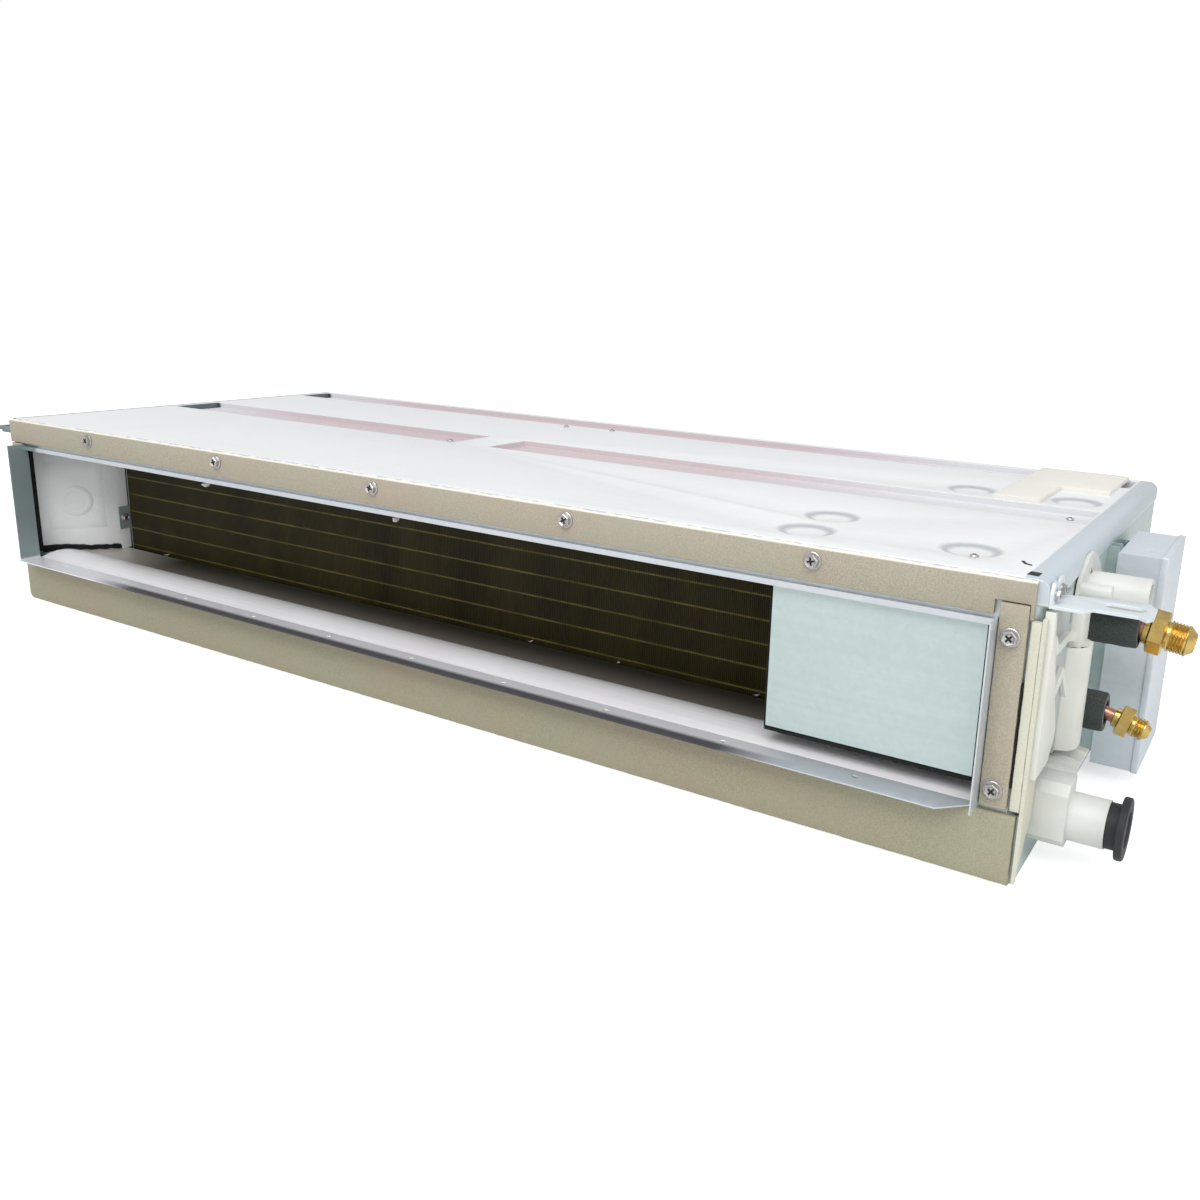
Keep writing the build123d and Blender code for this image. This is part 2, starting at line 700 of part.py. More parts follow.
def right_side_foam():
    """A strip beside the outlet that wraps round the corner and widens at its foot."""
    boss_front = BOSS_FRONT - FOAM_GAP
    wrap = COVER_FRONT - FOAM_GAP
    outline = [
        (-FOAM, 2.0),
        (13.0, 30.0),
        (boss_front, 36.0),
        (boss_front, SIDE_FOAM_STEP),
        (wrap, SIDE_FOAM_STEP),
        (wrap, SIDE_FOAM_TOP),
        (-FOAM, SIDE_FOAM_TOP),
    ]
    foam = slab_x(WALL_FACE, WALL_FACE + SIDE_FOAM, outline)
    front_top = BAND_BOTTOM - FOAM_GAP
    return foam + block(STRIP_EDGE + STRIP_SLIT, WALL_FACE, -FOAM, SKIN_FRONT, STRIP_BOTTOM, front_top)


def top_foam_pad():
    """A piece of foam strip stuck on the top in an L."""
    left, step, right = (HALF_WIDTH - gap for gap in PAD_SIDE_GAPS)
    front, notch, rear = (CASING_DEPTH - gap for gap in PAD_REAR_GAPS)
    outline = [(left, front), (step, front), (step, notch), (right, notch), (right, rear), (left, rear)]
    return slab_z(CASING_HEIGHT, CASING_HEIGHT + PAD_THICK, outline)


# Coil


def column_depth(column):
    return COIL_FRONT + COLUMN_PITCH * (column + 0.5)


def column_heights(column):
    """Heights of the tubes in one column. Every second column is half a pitch higher."""
    lift = ROW_PITCH / 2 * (column % 2)
    return [FIRST_TUBE_HEIGHT + lift + ROW_PITCH * row for row in range(TUBE_ROWS)]


def coil_fins():
    return block(COIL_LEFT, COIL_RIGHT, COIL_FRONT, COIL_REAR, COIL_BOTTOM, COIL_TOP)


def coil_tubes():
    """The tube ends that stand out of the end plate on the pipe side."""
    columns = range(TUBE_COLUMNS)
    places = [(column_depth(column), height) for column in columns for height in column_heights(column)]
    return group([prism_x(RIGHT_PLATE, TUBE_RIGHT, *place, TUBE_RADIUS, FEW_SIDES) for place in places])


def coil_plate(inner_x, outward):
    """An end plate with a rear flange, standing in the drain pan."""
    x0, x1 = sorted((inner_x, inner_x + outward * COIL_PLATE))
    foot = BEAD_TOP + PAN_FLOOR
    plate = block(x0, x1, COIL_FRONT, COIL_REAR, foot, COIL_TOP + PLATE_MARGIN)
    flange_x0, flange_x1 = sorted((inner_x, inner_x + outward * FLANGE))
    back = COIL_REAR
    plate += block(flange_x0, flange_x1, back, back + COIL_PLATE, foot, COIL_TOP + PLATE_MARGIN)
    return plate


def left_coil_plate():
    """It has an ear towards the outlet."""
    plate = coil_plate(COIL_LEFT, -1)
    low = FIRST_TUBE_HEIGHT + ROW_PITCH
    high = low + 1.3 * ROW_PITCH
    return plate + block(LEFT_PLATE, COIL_LEFT, COIL_FRONT - FLANGE, COIL_FRONT, low, high)


def right_coil_plate():
    return coil_plate(COIL_RIGHT, 1)


def return_bends():
    """Hairpins at the closed end, each from a front tube to the rear one above it."""
    front, rear = column_depth(0), column_depth(1)
    half = math.hypot(rear - front, ROW_PITCH / 2) / 2
    lean = math.degrees(math.atan2(rear - front, ROW_PITCH / 2))
    leg = BEND_REACH
    corner = half * 0.6
    points = [
        (0, 0, -half),
        (-leg, 0, -half),
        (-leg - corner, 0, corner - half),
        (-leg - corner, 0, half - corner),
        (-leg, 0, half),
        (0, 0, half),
    ]
    profile = Plane(origin=points[0], z_dir=(-1, 0, 0)) * RegularPolygon(TUBE_RADIUS, FEW_SIDES)
    bend = Rot(-lean, 0, 0) * sweep(profile, path=Polyline(*points), transition=Transition.RIGHT)
    pairs = zip(column_heights(0), column_heights(1))
    return group([Pos(LEFT_PLATE, (front + rear) / 2, (low + high) / 2) * bend for low, high in pairs])


def pipe_run(points, radius):
    """A pipe along straight runs with mitred corners."""
    start = Vector(*points[0])
    heading = Vector(*points[1]) - start
    section = Plane(origin=start, z_dir=heading) * Circle(radius)
    return sweep(section, path=Polyline(*points), transition=Transition.RIGHT)


def coil_header(column, radius):
    """A standing header on one column's open tube ends."""
    heights = column_heights(column)
    reach = radius * 0.75
    return rod_z(TUBE_RIGHT + radius, column_depth(column), heights[0] - reach, heights[-1] + reach, radius)


def gas_header():
    return coil_header(0, HEADER_RADIUS)


def liquid_header():
    return coil_header(1, LIQUID_HEADER_RADIUS)


def tilted(x, depth, height, tilt):
    """A place from which +X points down by the tilt."""
    return Pos(x, depth, height) * Rot(0, tilt, 0)


def gas_knee():
    return HALF_WIDTH + GAS_SLEEVE_LENGTH


def liquid_knee():
    return HALF_WIDTH + LIQUID_SLEEVE_LENGTH


def drooping_pipe(header_x, column, knee, hex_reach, height, tilt, radius):
    """A pipe from its header to its fitting, drooping a little past the sleeve."""
    run = hex_reach - (knee - HALF_WIDTH)
    turn_x = WALL_INSIDE - 3 * GAS_RADIUS
    end_x = knee + run * math.cos(math.radians(tilt))
    end_height = height - run * math.sin(math.radians(tilt))
    points = [
        (header_x, column_depth(column), height),
        (turn_x, PIPE_DEPTH, height),
        (knee, PIPE_DEPTH, height),
        (end_x, PIPE_DEPTH, end_height),
    ]
    return pipe_run(points, radius)


def gas_pipe():
    """It is notched at its inner end to sit on the header."""
    start = TUBE_RIGHT + HEADER_RADIUS
    pipe = drooping_pipe(start, 0, gas_knee(), GAS_HEX_REACH, GAS_HEIGHT, GAS_TILT, GAS_RADIUS)
    return pipe - gas_header()


def liquid_pipe():
    """It is notched in the same way."""
    start = TUBE_RIGHT + LIQUID_HEADER_RADIUS
    knee = liquid_knee()
    pipe = drooping_pipe(start, 1, knee, LIQUID_HEX_REACH, LIQUID_HEIGHT, LIQUID_TILT, LIQUID_RADIUS)
    return pipe - liquid_header()


def flare_fitting(flats, hex_length, thread_radius, thread_length, pipe_radius):
    """A brass flare union half along +X: hexagon, threaded part and 45 degree nose, bored from the tip."""
    nose = thread_radius - pipe_radius * 0.8
    tip = hex_length + thread_length
    shape = Rot(0, 90, 0) * extrude(RegularPolygon(flats / 2, 6, major_radius=False), hex_length)
    shape += rod_x(hex_length, tip - nose, 0, 0, thread_radius)
    cone = Rot(0, 90, 0) * Cone(thread_radius, thread_radius - nose, nose)
    shape += Pos(tip - nose / 2, 0, 0) * cone
    return shape - prism_x(hex_length, tip + 1, 0, 0, pipe_radius * 0.6, SOME_SIDES)


def fitting_place(knee, hex_reach, height, tilt):
    run = hex_reach - (knee - HALF_WIDTH)
    x = knee + run * math.cos(math.radians(tilt))
    z = height - run * math.sin(math.radians(tilt))
    return tilted(x, PIPE_DEPTH, z, tilt)


def gas_fitting():
    place = fitting_place(gas_knee(), GAS_HEX_REACH, GAS_HEIGHT, GAS_TILT)
    return place * flare_fitting(
        GAS_HEX_FLATS, GAS_HEX_LENGTH, GAS_THREAD_RADIUS, GAS_THREAD_LENGTH, GAS_RADIUS
    )


def liquid_fitting():
    place = fitting_place(liquid_knee(), LIQUID_HEX_REACH, LIQUID_HEIGHT, LIQUID_TILT)
    return place * flare_fitting(
        LIQUID_HEX_FLATS, LIQUID_HEX_LENGTH, LIQUID_THREAD_RADIUS, LIQUID_THREAD_LENGTH, LIQUID_RADIUS
    )


def sleeve(length, height, radius, pipe_radius):
    end = HALF_WIDTH + length - 2
    outer = prism_x(COVER_FACE, end, PIPE_DEPTH, height, radius, MANY_SIDES)
    return outer - prism_x(COVER_FACE - 1, end + 1, PIPE_DEPTH, height, pipe_radius + SLEEVE_GAP, SOME_SIDES)


def gas_sleeve():
    return sleeve(GAS_SLEEVE_LENGTH, GAS_HEIGHT, GAS_SLEEVE_RADIUS, GAS_RADIUS)


def liquid_sleeve():
    return sleeve(LIQUID_SLEEVE_LENGTH, LIQUID_HEIGHT, LIQUID_SLEEVE_RADIUS, LIQUID_RADIUS)


def on_cover(outline):
    """A raised outline at its place on the cover, stretched with the cover's height."""
    stretch = (COVER_TOP - COVER_BOTTOM) / COVER_DRAWN_HEIGHT
    return [(depth, COVER_BOTTOM + height * stretch) for depth, height in outline]


def pipe_cover():
    """A moulded plate with a raised front band, an arch, a slanting rib and an upright column."""
    cover = slab_x(WALL_FACE, COVER_FACE + COVER_BAND_RAISE, on_cover(COVER_BAND))
    cover += block(WALL_FACE, COVER_FACE, COVER_BAND[0][0], COLUMN_FRONT, SIDE_FOAM_STEP, COVER_TOP)
    cover += block(WALL_FACE, COVER_FACE, COLUMN_FRONT, COVER_REAR, COVER_BOTTOM, COVER_LOW_TOP)
    cover += slab_x(COVER_FACE, COVER_FACE + COVER_ARCH_RAISE, on_cover(COVER_ARCH))
    cover += slab_x(COVER_FACE, COVER_FACE + COVER_RIB_RAISE, on_cover(COVER_RIB))
    low = COVER_BOTTOM + COVER_PLATE
    outline = [
        (COVER_FACE, COLUMN_FRONT),
        (COVER_FACE + COLUMN_REACH * 0.7, COLUMN_FRONT + 4),
        (COVER_FACE + COLUMN_REACH, COLUMN_FRONT + 11),
        (COVER_FACE + COLUMN_REACH, COLUMN_REAR - 5),
        (COVER_FACE + COLUMN_REACH - 4, COLUMN_REAR),
        (COVER_FACE, COLUMN_REAR),
    ]
    cover += slab_z(low, COLUMN_STEP, outline)
    slim = COVER_FACE + COLUMN_SLIM_REACH
    cover += block(WALL_FACE, slim, COLUMN_FRONT + 4, COLUMN_REAR, COLUMN_STEP, COLUMN_TOP)
    for height, radius in ((GAS_HEIGHT, GAS_RADIUS), (LIQUID_HEIGHT, LIQUID_RADIUS)):
        cover -= prism_x(WALL_FACE - 1, COVER_FACE + 1, PIPE_DEPTH, height, radius + SLEEVE_GAP, SOME_SIDES)
    return cover


def drip_shelf():
    """A ribbed flap under the cover that leads drops away from the wall."""
    end = WALL_FACE + SHELF_REACH
    root = WALL_FACE + SHELF_THICK
    under = SHELF_TOP - SHELF_THICK
    profile = [
        (WALL_FACE, under - 3 * SHELF_THICK),
        (root, under - 3 * SHELF_THICK),
        (root, under),
        (end, under - SHELF_DROP),
        (end, SHELF_TOP - SHELF_DROP),
        (WALL_FACE, SHELF_TOP),
    ]
    shelf = slab_y(SHELF_FRONT, SHELF_REAR, profile)
    rib = [
        (root, SHELF_TOP - 1),
        (end, SHELF_TOP - SHELF_DROP - 1),
        (end, SHELF_TOP - SHELF_DROP + 1),
        (root, SHELF_TOP + 1),
    ]
    pitch = (SHELF_REAR - SHELF_FRONT) / SHELF_RIBS
    for i in range(SHELF_RIBS):
        y0 = SHELF_FRONT + pitch * (i + 0.4)
        shelf += slab_y(y0, y0 + SHELF_THICK, rib)
    return shelf


# Drain


def drain_pan():
    """A moulded foam pan with a trough under the coil that opens into the sump."""
    inner_x = WALL_INSIDE - SHEET - FOAM_GAP
    pan = block(-inner_x, inner_x, PAN_FRONT, PAN_REAR, BEAD_TOP, PAN_TOP)
    floor_height = BEAD_TOP + PAN_FLOOR
    pan -= block(
        -inner_x + PAN_WALL,
        inner_x - PAN_WALL,
        COIL_FRONT - TROUGH_MARGIN,
        COIL_REAR + TROUGH_MARGIN + COIL_PLATE,
        floor_height,
        PAN_TOP + 1,
    )
    pan -= block(
        SUMP_LEFT,
        inner_x - PAN_WALL,
        PAN_FRONT + PAN_WALL / 2,
        PAN_REAR - PAN_WALL,
        floor_height,
        PAN_TOP + 1,
    )
    hole_height = DRAIN_HEIGHT - DRAIN_BORE + PAN_HOLE_RADIUS
    pan -= rod_x(inner_x - PAN_WALL - 1, inner_x + 1, DRAIN_DEPTH, hole_height, PAN_HOLE_RADIUS)
    return pan


def drain_socket():
    boss = block(WALL_FACE, WALL_FACE + BOSS_REACH, BOSS_FRONT, BOSS_REAR, BOSS_BOTTOM, BOSS_TOP)
    fronts = boss.edges().filter_by(Axis.X).group_by(Axis.Y)[0]
    boss = chamfer(fronts, BOSS_CHAMFER)
    socket = boss + rod_x(WALL_INSIDE, SOCKET_END, DRAIN_DEPTH, DRAIN_HEIGHT, DRAIN_RADIUS)
    axis = (DRAIN_DEPTH, DRAIN_HEIGHT)
    return socket - prism_x(WALL_INSIDE - 1, SOCKET_END + 1, *axis, DRAIN_BORE, SOME_SIDES)


def drain_plug():
    neck_end = SOCKET_END + PLUG_NECK
    end = neck_end + PLUG_FLANGE
    start = SOCKET_END - PLUG_INSERT
    axis = (DRAIN_DEPTH, DRAIN_HEIGHT)
    plug = prism_x(start, SOCKET_END, *axis, DRAIN_BORE - PLUG_FIT, SOME_SIDES)
    plug += prism_x(SOCKET_END, neck_end, *axis, PLUG_NECK_RADIUS, MANY_SIDES)
    return plug + prism_x(neck_end, end, *axis, PLUG_FLANGE_RADIUS, MANY_SIDES)


def drain_pump():
    snout_bottom = BEAD_TOP + PAN_FLOOR + 4
    pump = prism_z(PUMP_X, PUMP_DEPTH, PUMP_BOTTOM, PUMP_TOP, PUMP_RADIUS, MANY_SIDES)
    return pump + prism_z(PUMP_X, PUMP_DEPTH, snout_bottom, PUMP_BOTTOM, SNOUT_RADIUS, FEW_SIDES)


def pump_bracket():
    depth0 = PUMP_DEPTH - 6
    depth1 = PUMP_DEPTH + PUMP_RADIUS
    arm = block(PUMP_X, WALL_INSIDE, depth0, depth1, PUMP_TOP, PUMP_TOP + 2)
    leg = block(WALL_INSIDE - 2, WALL_INSIDE, depth0, depth1, PUMP_TOP + 2, PUMP_TOP + 24)
    return arm + leg


def pump_outlet_pipe():
    """The pump's pipe stub on a domed lug, with a small nub beside it."""
    start = WALL_INSIDE - OUTLET_RADIUS
    end = WALL_FACE + OUTLET_REACH
    lug_face = HALF_WIDTH + LUG_THICK
    outline = [(OUTLET_DEPTH + depth, OUTLET_HEIGHT + height) for depth, height in LUG_OUTLINE]
    pipe = slab_x(HALF_WIDTH, lug_face, outline)
    pipe += prism_x(WALL_FACE, lug_face, OUTLET_DEPTH, OUTLET_HEIGHT, OUTLET_COLLAR, MANY_SIDES)
    pipe += rod_x(start, end, OUTLET_DEPTH, OUTLET_HEIGHT, OUTLET_RADIUS)
    nub_end = HALF_WIDTH + NUB_LENGTH
    nub_place = (OUTLET_DEPTH + NUB_DEPTH, OUTLET_HEIGHT + NUB_HEIGHT)
    pipe += prism_x(lug_face, nub_end, *nub_place, NUB_RADIUS, SOME_SIDES)
    return pipe - prism_x(start - 1, end + 1, OUTLET_DEPTH, OUTLET_HEIGHT, OUTLET_BORE, SOME_SIDES)


def float_switch():
    floor_height = BEAD_TOP + PAN_FLOOR
    stem_top = PAN_TOP + 24
    stem = rod_z(FLOAT_X, FLOAT_DEPTH, floor_height, stem_top, STEM_RADIUS)
    arm = block(FLOAT_X - 6, WALL_INSIDE, FLOAT_DEPTH - 8, FLOAT_DEPTH + 8, stem_top, stem_top + 2)
    leg = block(WALL_INSIDE - 2, WALL_INSIDE, FLOAT_DEPTH - 8, FLOAT_DEPTH + 8, stem_top - 14, stem_top)
    foot = prism_z(FLOAT_X, FLOAT_DEPTH, floor_height, floor_height + 3, FLOAT_RADIUS - 3, FEW_SIDES)
    return stem + arm + leg + foot


def switch_float():
    bottom = BEAD_TOP + PAN_FLOOR + 3 + STEM_GAP
    body = prism_z(FLOAT_X, FLOAT_DEPTH, bottom, bottom + FLOAT_HEIGHT, FLOAT_RADIUS, SOME_SIDES)
    return body - rod_z(FLOAT_X, FLOAT_DEPTH, bottom - 1, bottom + FLOAT_HEIGHT + 1, STEM_RADIUS + STEM_GAP)


def left_foam_guide():
    """The foam block that leads the air from the side wall to the coil."""
    wall = -WALL_INSIDE + FOAM_GAP
    rear = COIL_FRONT - 1
    inner = LEFT_PLATE - FOAM_GAP
    outline = [(wall, 18.0), (inner, rear - 12), (inner, rear), (wall, rear)]
    return slab_z(PAN_TOP, LIP_BOTTOM, outline)


# Fans


def quarter(depth, height, radius, start):
    """Points on a quarter turn, clockwise as seen from the pipe side, from an angle in degrees."""
    angles = [math.radians(start - 90 / SCROLL_CHORDS * i) for i in range(SCROLL_CHORDS + 1)]
    return [(depth + radius * math.cos(angle), height + radius * math.sin(angle)) for angle in angles]


def scroll_outline(wall):
    """The spiral of three quarter turns that grow by a step, with its straight outlet."""
    start = SCROLL_START + wall
    shift = SCROLL_STEP / 4
    y1, z1 = AXLE_DEPTH + shift, AXLE_HEIGHT + shift
    z2 = z1 - SCROLL_STEP
    y3 = y1 - SCROLL_STEP
    outline = quarter(y1, z1, start, 180)
    outline += quarter(y1, z2, start + SCROLL_STEP, 90)[1:]
    outline += quarter(y3, z2, start + 2 * SCROLL_STEP, 0)[1:]
    outline.append((PARTITION_REAR, outline[-1][1]))
    outline.append((PARTITION_REAR, z1 + 2 * FAN_WALL + wall))
    return outline


def fan_housing(x):
    """One whole scroll housing with its two round inlets."""
    half = HOUSING_LENGTH / 2
    inside = HOUSING_INSIDE / 2
    outer = slab_x(x - half, x + half, scroll_outline(FAN_WALL))
    inner = slab_x(x - inside, x + inside, scroll_outline(0))
    mouth = block(
        x - inside,
        x + inside,
        PARTITION_REAR - 1,
        PARTITION_REAR + FAN_WALL,
        BEAD_TOP + FAN_WALL,
        WINDOW_TOP,
    )
    inlets = prism_x(x - half - 1, x + half + 1, AXLE_DEPTH, AXLE_HEIGHT, INLET_RADIUS, MANY_SIDES)
    return outer - inner - mouth - inlets


def split_housings(z0, z1):
    """The halves of the housings that lie between two heights."""
    halves = []
    for x in FAN_PLACES:
        reach = HOUSING_LENGTH
        keep = block(x - reach, x + reach, PARTITION_DEPTH, CASING_DEPTH, z0, z1)
        halves.append(fan_housing(x) & keep)
    return group(halves)


def fan_housing_lower():
    return split_housings(0, AXLE_HEIGHT)


def fan_housing_upper():
    return split_housings(AXLE_HEIGHT, CASING_HEIGHT)


def blade():
    """One forward-curved blade as a bent strip, in the wheel's cross-section."""
    inner = WHEEL_RADIUS - BLADE_DEPTH
    outer = WHEEL_RADIUS - RING_THICK
    middle = (inner + outer) / 2
    bend = BLADE_LEAN / 2 - BLADE_BELLY
    return make_face(
        Polyline(
            (inner, 0),
            (middle, bend),
            (outer, BLADE_LEAN),
            (outer, BLADE_LEAN + BLADE_THICK),
            (middle, bend + BLADE_THICK),
            (inner, BLADE_THICK),
            close=True,
        )
    )


def fan_wheel(x):
    """A sirocco wheel: curved blades between two end rings, carried by a middle disc and hub."""
    half = WHEEL_LENGTH / 2
    length = WHEEL_LENGTH - 2 * RING_THICK
    across = Plane.YZ
    bore = Circle(SHAFT_RADIUS + SHAFT_FIT)
    disc = across * (RegularPolygon(WHEEL_RADIUS - BLADE_DEPTH / 2, BLADE_COUNT) - bore)
    rim = RegularPolygon(WHEEL_RADIUS, BLADE_COUNT)
    ring = across * (rim - RegularPolygon(WHEEL_RADIUS - RING_DEPTH, BLADE_COUNT))
    hub = across * (RegularPolygon(HUB_RADIUS, SOME_SIDES) - bore)
    turns = [Rot(0, 0, 360 / BLADE_COUNT * (i + 0.35)) for i in range(BLADE_COUNT)]
    wheel = Pos(-DISC_THICK / 2, 0, 0) * extrude(disc, DISC_THICK)
    wheel += Pos(-half, 0, 0) * extrude(ring, RING_THICK)
    wheel += Pos(half - RING_THICK, 0, 0) * extrude(ring, RING_THICK)
    wheel += [Pos(-length / 2, 0, 0) * extrude(across * (turn * blade()), length) for turn in turns]
    wheel += Pos(-HUB_LENGTH / 2, 0, 0) * extrude(hub, HUB_LENGTH)
    return Pos(x, AXLE_DEPTH, AXLE_HEIGHT) * wheel


def motor_shaft():
    return rod_x(COUPLING_X, FAN_3_X + SHAFT_STUB, AXLE_DEPTH, AXLE_HEIGHT, SHAFT_RADIUS)


def extension_shaft():
    start = BEARING_X - BEARING_LENGTH / 2
    return rod_x(start, COUPLING_X, AXLE_DEPTH, AXLE_HEIGHT, SHAFT_RADIUS)


def shaft_coupling():
    x0 = COUPLING_X - COUPLING_LENGTH / 2
    x1 = COUPLING_X + COUPLING_LENGTH / 2
    body = prism_x(x0, x1, AXLE_DEPTH, AXLE_HEIGHT, COUPLING_RADIUS, FEW_SIDES)
    return body - rod_x(x0 - 1, x1 + 1, AXLE_DEPTH, AXLE_HEIGHT, SHAFT_RADIUS + SHAFT_FIT)


def shaft_bearing():
    """The end bearing in a plummer block on an arm from the partition."""
    x0 = BEARING_X - BEARING_LENGTH / 2
    x1 = BEARING_X + BEARING_LENGTH / 2
    low = AXLE_HEIGHT - BEARING_RADIUS
    high = AXLE_HEIGHT + BEARING_RADIUS
    bearing = block(x0, x1, AXLE_DEPTH - BEARING_RADIUS, AXLE_DEPTH + BEARING_RADIUS, low, high)
    bearing += block(x0, x0 + 3, PARTITION_REAR, AXLE_DEPTH, low, high)
    bearing += block(x0, x1, PARTITION_REAR, PARTITION_REAR + 3, low, high)
    return bearing - rod_x(x0 - 1, x1 + 1, AXLE_DEPTH, AXLE_HEIGHT, SHAFT_RADIUS + SHAFT_FIT)


def fan_motor():
    half = MOTOR_LENGTH / 2
    x = MOTOR_CENTRE
    body = prism_x(x - half + 10, x + half - 10, AXLE_DEPTH, AXLE_HEIGHT, MOTOR_RADIUS, MANY_SIDES)
    body += prism_x(x - half, x + half, AXLE_DEPTH, AXLE_HEIGHT, MOTOR_RADIUS * 0.4, FEW_SIDES)
    return body - rod_x(x - half - 1, x + half + 1, AXLE_DEPTH, AXLE_HEIGHT, SHAFT_RADIUS + SHAFT_FIT)


def motor_bracket():
    """A saddle under the motor: two cheeks on a foot."""
    half = MOTOR_LENGTH / 2 - 18
    width = MOTOR_RADIUS + 6
    x = MOTOR_CENTRE
    foot_top = BEAD_TOP + 3
    saddle = block(x - half, x + half, AXLE_DEPTH - width, AXLE_DEPTH + width, BEAD_TOP, foot_top)
    for side in (-1, 1):
        x0, x1 = sorted((x + side * half, x + side * (half - 3)))
        saddle += block(x0, x1, AXLE_DEPTH - width, AXLE_DEPTH + width, foot_top, AXLE_HEIGHT - 4)
    seat = prism_x(x - half - 1, x + half + 1, AXLE_DEPTH, AXLE_HEIGHT, MOTOR_RADIUS, MANY_SIDES)
    return saddle - seat


def fan_partition():
    """The wall between the fans and the coil, with one window for each housing."""
    half = WALL_INSIDE
    base_flange = SHEET + BASE_FLANGE
    wall = block(-half, half, PARTITION_DEPTH, PARTITION_REAR, SHEET, SIDE_TOP - SHEET)
    for side in (-1, 1):
        x0, x1 = sorted((side * (half - SHEET - FOAM_GAP), side * (half + 1)))
        wall -= block(x0, x1, PARTITION_DEPTH - 1, PARTITION_REAR + 1, 0, base_flange)
    inside = HOUSING_INSIDE / 2
    low = BEAD_TOP + FAN_WALL
    for x in FAN_PLACES:
        wall -= block(x - inside, x + inside, PARTITION_DEPTH - 1, PARTITION_REAR + 1, low, WINDOW_TOP)
    return wall


def air_filter():
    """A framed mesh with cross bars, which slides out at the closed end."""
    half = FILTER_HALF
    z0 = FILTER_BOTTOM
    z1 = FILTER_BOTTOM + FILTER_HEIGHT
    frame = block(-half, half, FILTER_FRONT, FILTER_REAR, z0, z1)
    pitch = (2 * half - FILTER_FRAME) / FILTER_BAYS
    middle = (FILTER_FRONT + FILTER_REAR) / 2
    low = z0 + FILTER_FRAME
    high = z1 - FILTER_FRAME
    for i in range(FILTER_BAYS):
        x0 = -half + FILTER_FRAME + i * pitch
        x1 = x0 + pitch - FILTER_FRAME
        frame -= block(x0, x1, FILTER_FRONT - 1, middle - MESH_THICK / 2, low, high)
        frame -= block(x0, x1, middle + MESH_THICK / 2, FILTER_REAR + 1, low, high)
    return frame


# Control box


def grommet_heights():
    middle = (BOX_BOTTOM + BOX_TOP) / 2
    return (middle - GROMMET_PITCH / 2, middle + GROMMET_PITCH / 2)


def grommet_block(x0, x1, height, wall):
    """The outside of a cable grommet, or its inside when a wall is taken off."""
    depth = BOX_FRONT + BOX_LENGTH / 2
    half_width = GROMMET_WIDTH / 2 - wall
    half_height = GROMMET_HEIGHT / 2 - wall
    return block(x0, x1, depth - half_width, depth + half_width, height - half_height, height + half_height)


def control_box():
    """An open tray that faces away from the casing."""
    tray = block(BOX_BACK, BOX_FACE - SHEET, BOX_FRONT, BOX_REAR, BOX_BOTTOM, BOX_TOP)
    tray -= block(
        BOX_BACK + SHEET,
        BOX_FACE,
        BOX_FRONT + SHEET,
        BOX_REAR - SHEET,
        BOX_BOTTOM + SHEET,
        BOX_TOP - SHEET,
    )
    for height in grommet_heights():
        tray -= grommet_block(BOX_BACK - 1, BOX_BACK + 2, height, 0)
    return tray


def control_box_cover():
    wrap = SHEET
    lid = block(
        BOX_FACE - COVER_WRAP,
        BOX_FACE,
        BOX_FRONT - wrap,
        BOX_REAR + wrap,
        BOX_BOTTOM - wrap,
        BOX_TOP + wrap,
    )
    hollow = block(BOX_FACE - COVER_WRAP - 1, BOX_FACE - SHEET, BOX_FRONT, BOX_REAR, BOX_BOTTOM, BOX_TOP)
    return lid - hollow


def control_box_bracket():
    """Two channels that hold the box off the side wall."""
    depth0 = BOX_FRONT + 4
    depth1 = depth0 + BRACKET_DEPTH
    post = block(WALL_FACE, BOX_BACK, depth0, depth1, BOX_BOTTOM + 8, RIM_BOTTOM)
    post -= block(WALL_FACE + 1, BOX_BACK + 1, depth0 + 1, depth1 - 1, BOX_BOTTOM, CASING_HEIGHT)
    rear = block(WALL_FACE, BOX_BACK, BOX_REAR - BRACKET_DEPTH, BOX_REAR - 4, BOX_BOTTOM + 8, BOX_TOP - 8)
    rear -= block(
        WALL_FACE + 1,
        BOX_BACK + 1,
        BOX_REAR - BRACKET_DEPTH + 1,
        BOX_REAR - 5,
        BOX_BOTTOM,
        BOX_TOP,
    )
    return group([post, rear])


def circuit_board():
    """The board on its posts, with relay, transformer, capacitor and terminal block."""
    x0 = BOX_BACK + SHEET
    board_x = x0 + 6
    y0 = BOX_FRONT + BOARD_MARGIN
    y1 = BOX_REAR - BOARD_MARGIN
    z0 = BOX_BOTTOM + BOARD_MARGIN
    z1 = BOX_TOP - BOARD_MARGIN
    board = block(board_x, board_x + BOARD_THICK, y0, y1, z0, z1)
    for depth in (y0, y1 - 5):
        for height in (z0, z1 - 5):
            board += block(x0, board_x, depth, depth + 5, height, height + 5)
    face = board_x + BOARD_THICK
    board += block(face, face + 14, y0 + 10, y0 + 30, z1 - 50, z1 - 20)
    board += block(face, face + 9, y1 - 30, y1 - 10, z1 - 45, z1 - 15)
    board += block(face, face + 18, y1 - 31, y1 - 13, z1 - 84, z1 - 66)
    board += block(face, face + 11, y0 + 8, y1 - 8, z0 + 8, z0 + 26)
    return board


def cable_grommets():
    """Two rubber sleeves from the casing's wall into the box."""
    start = WALL_INSIDE - 2
    end = BOX_BACK + SHEET + 2
    rings = []
    for height in grommet_heights():
        outside = grommet_block(start, end, height, 0)
        rings.append(outside - grommet_block(start - 1, end + 1, height, GROMMET_WALL))
    return group(rings)


# Hangers


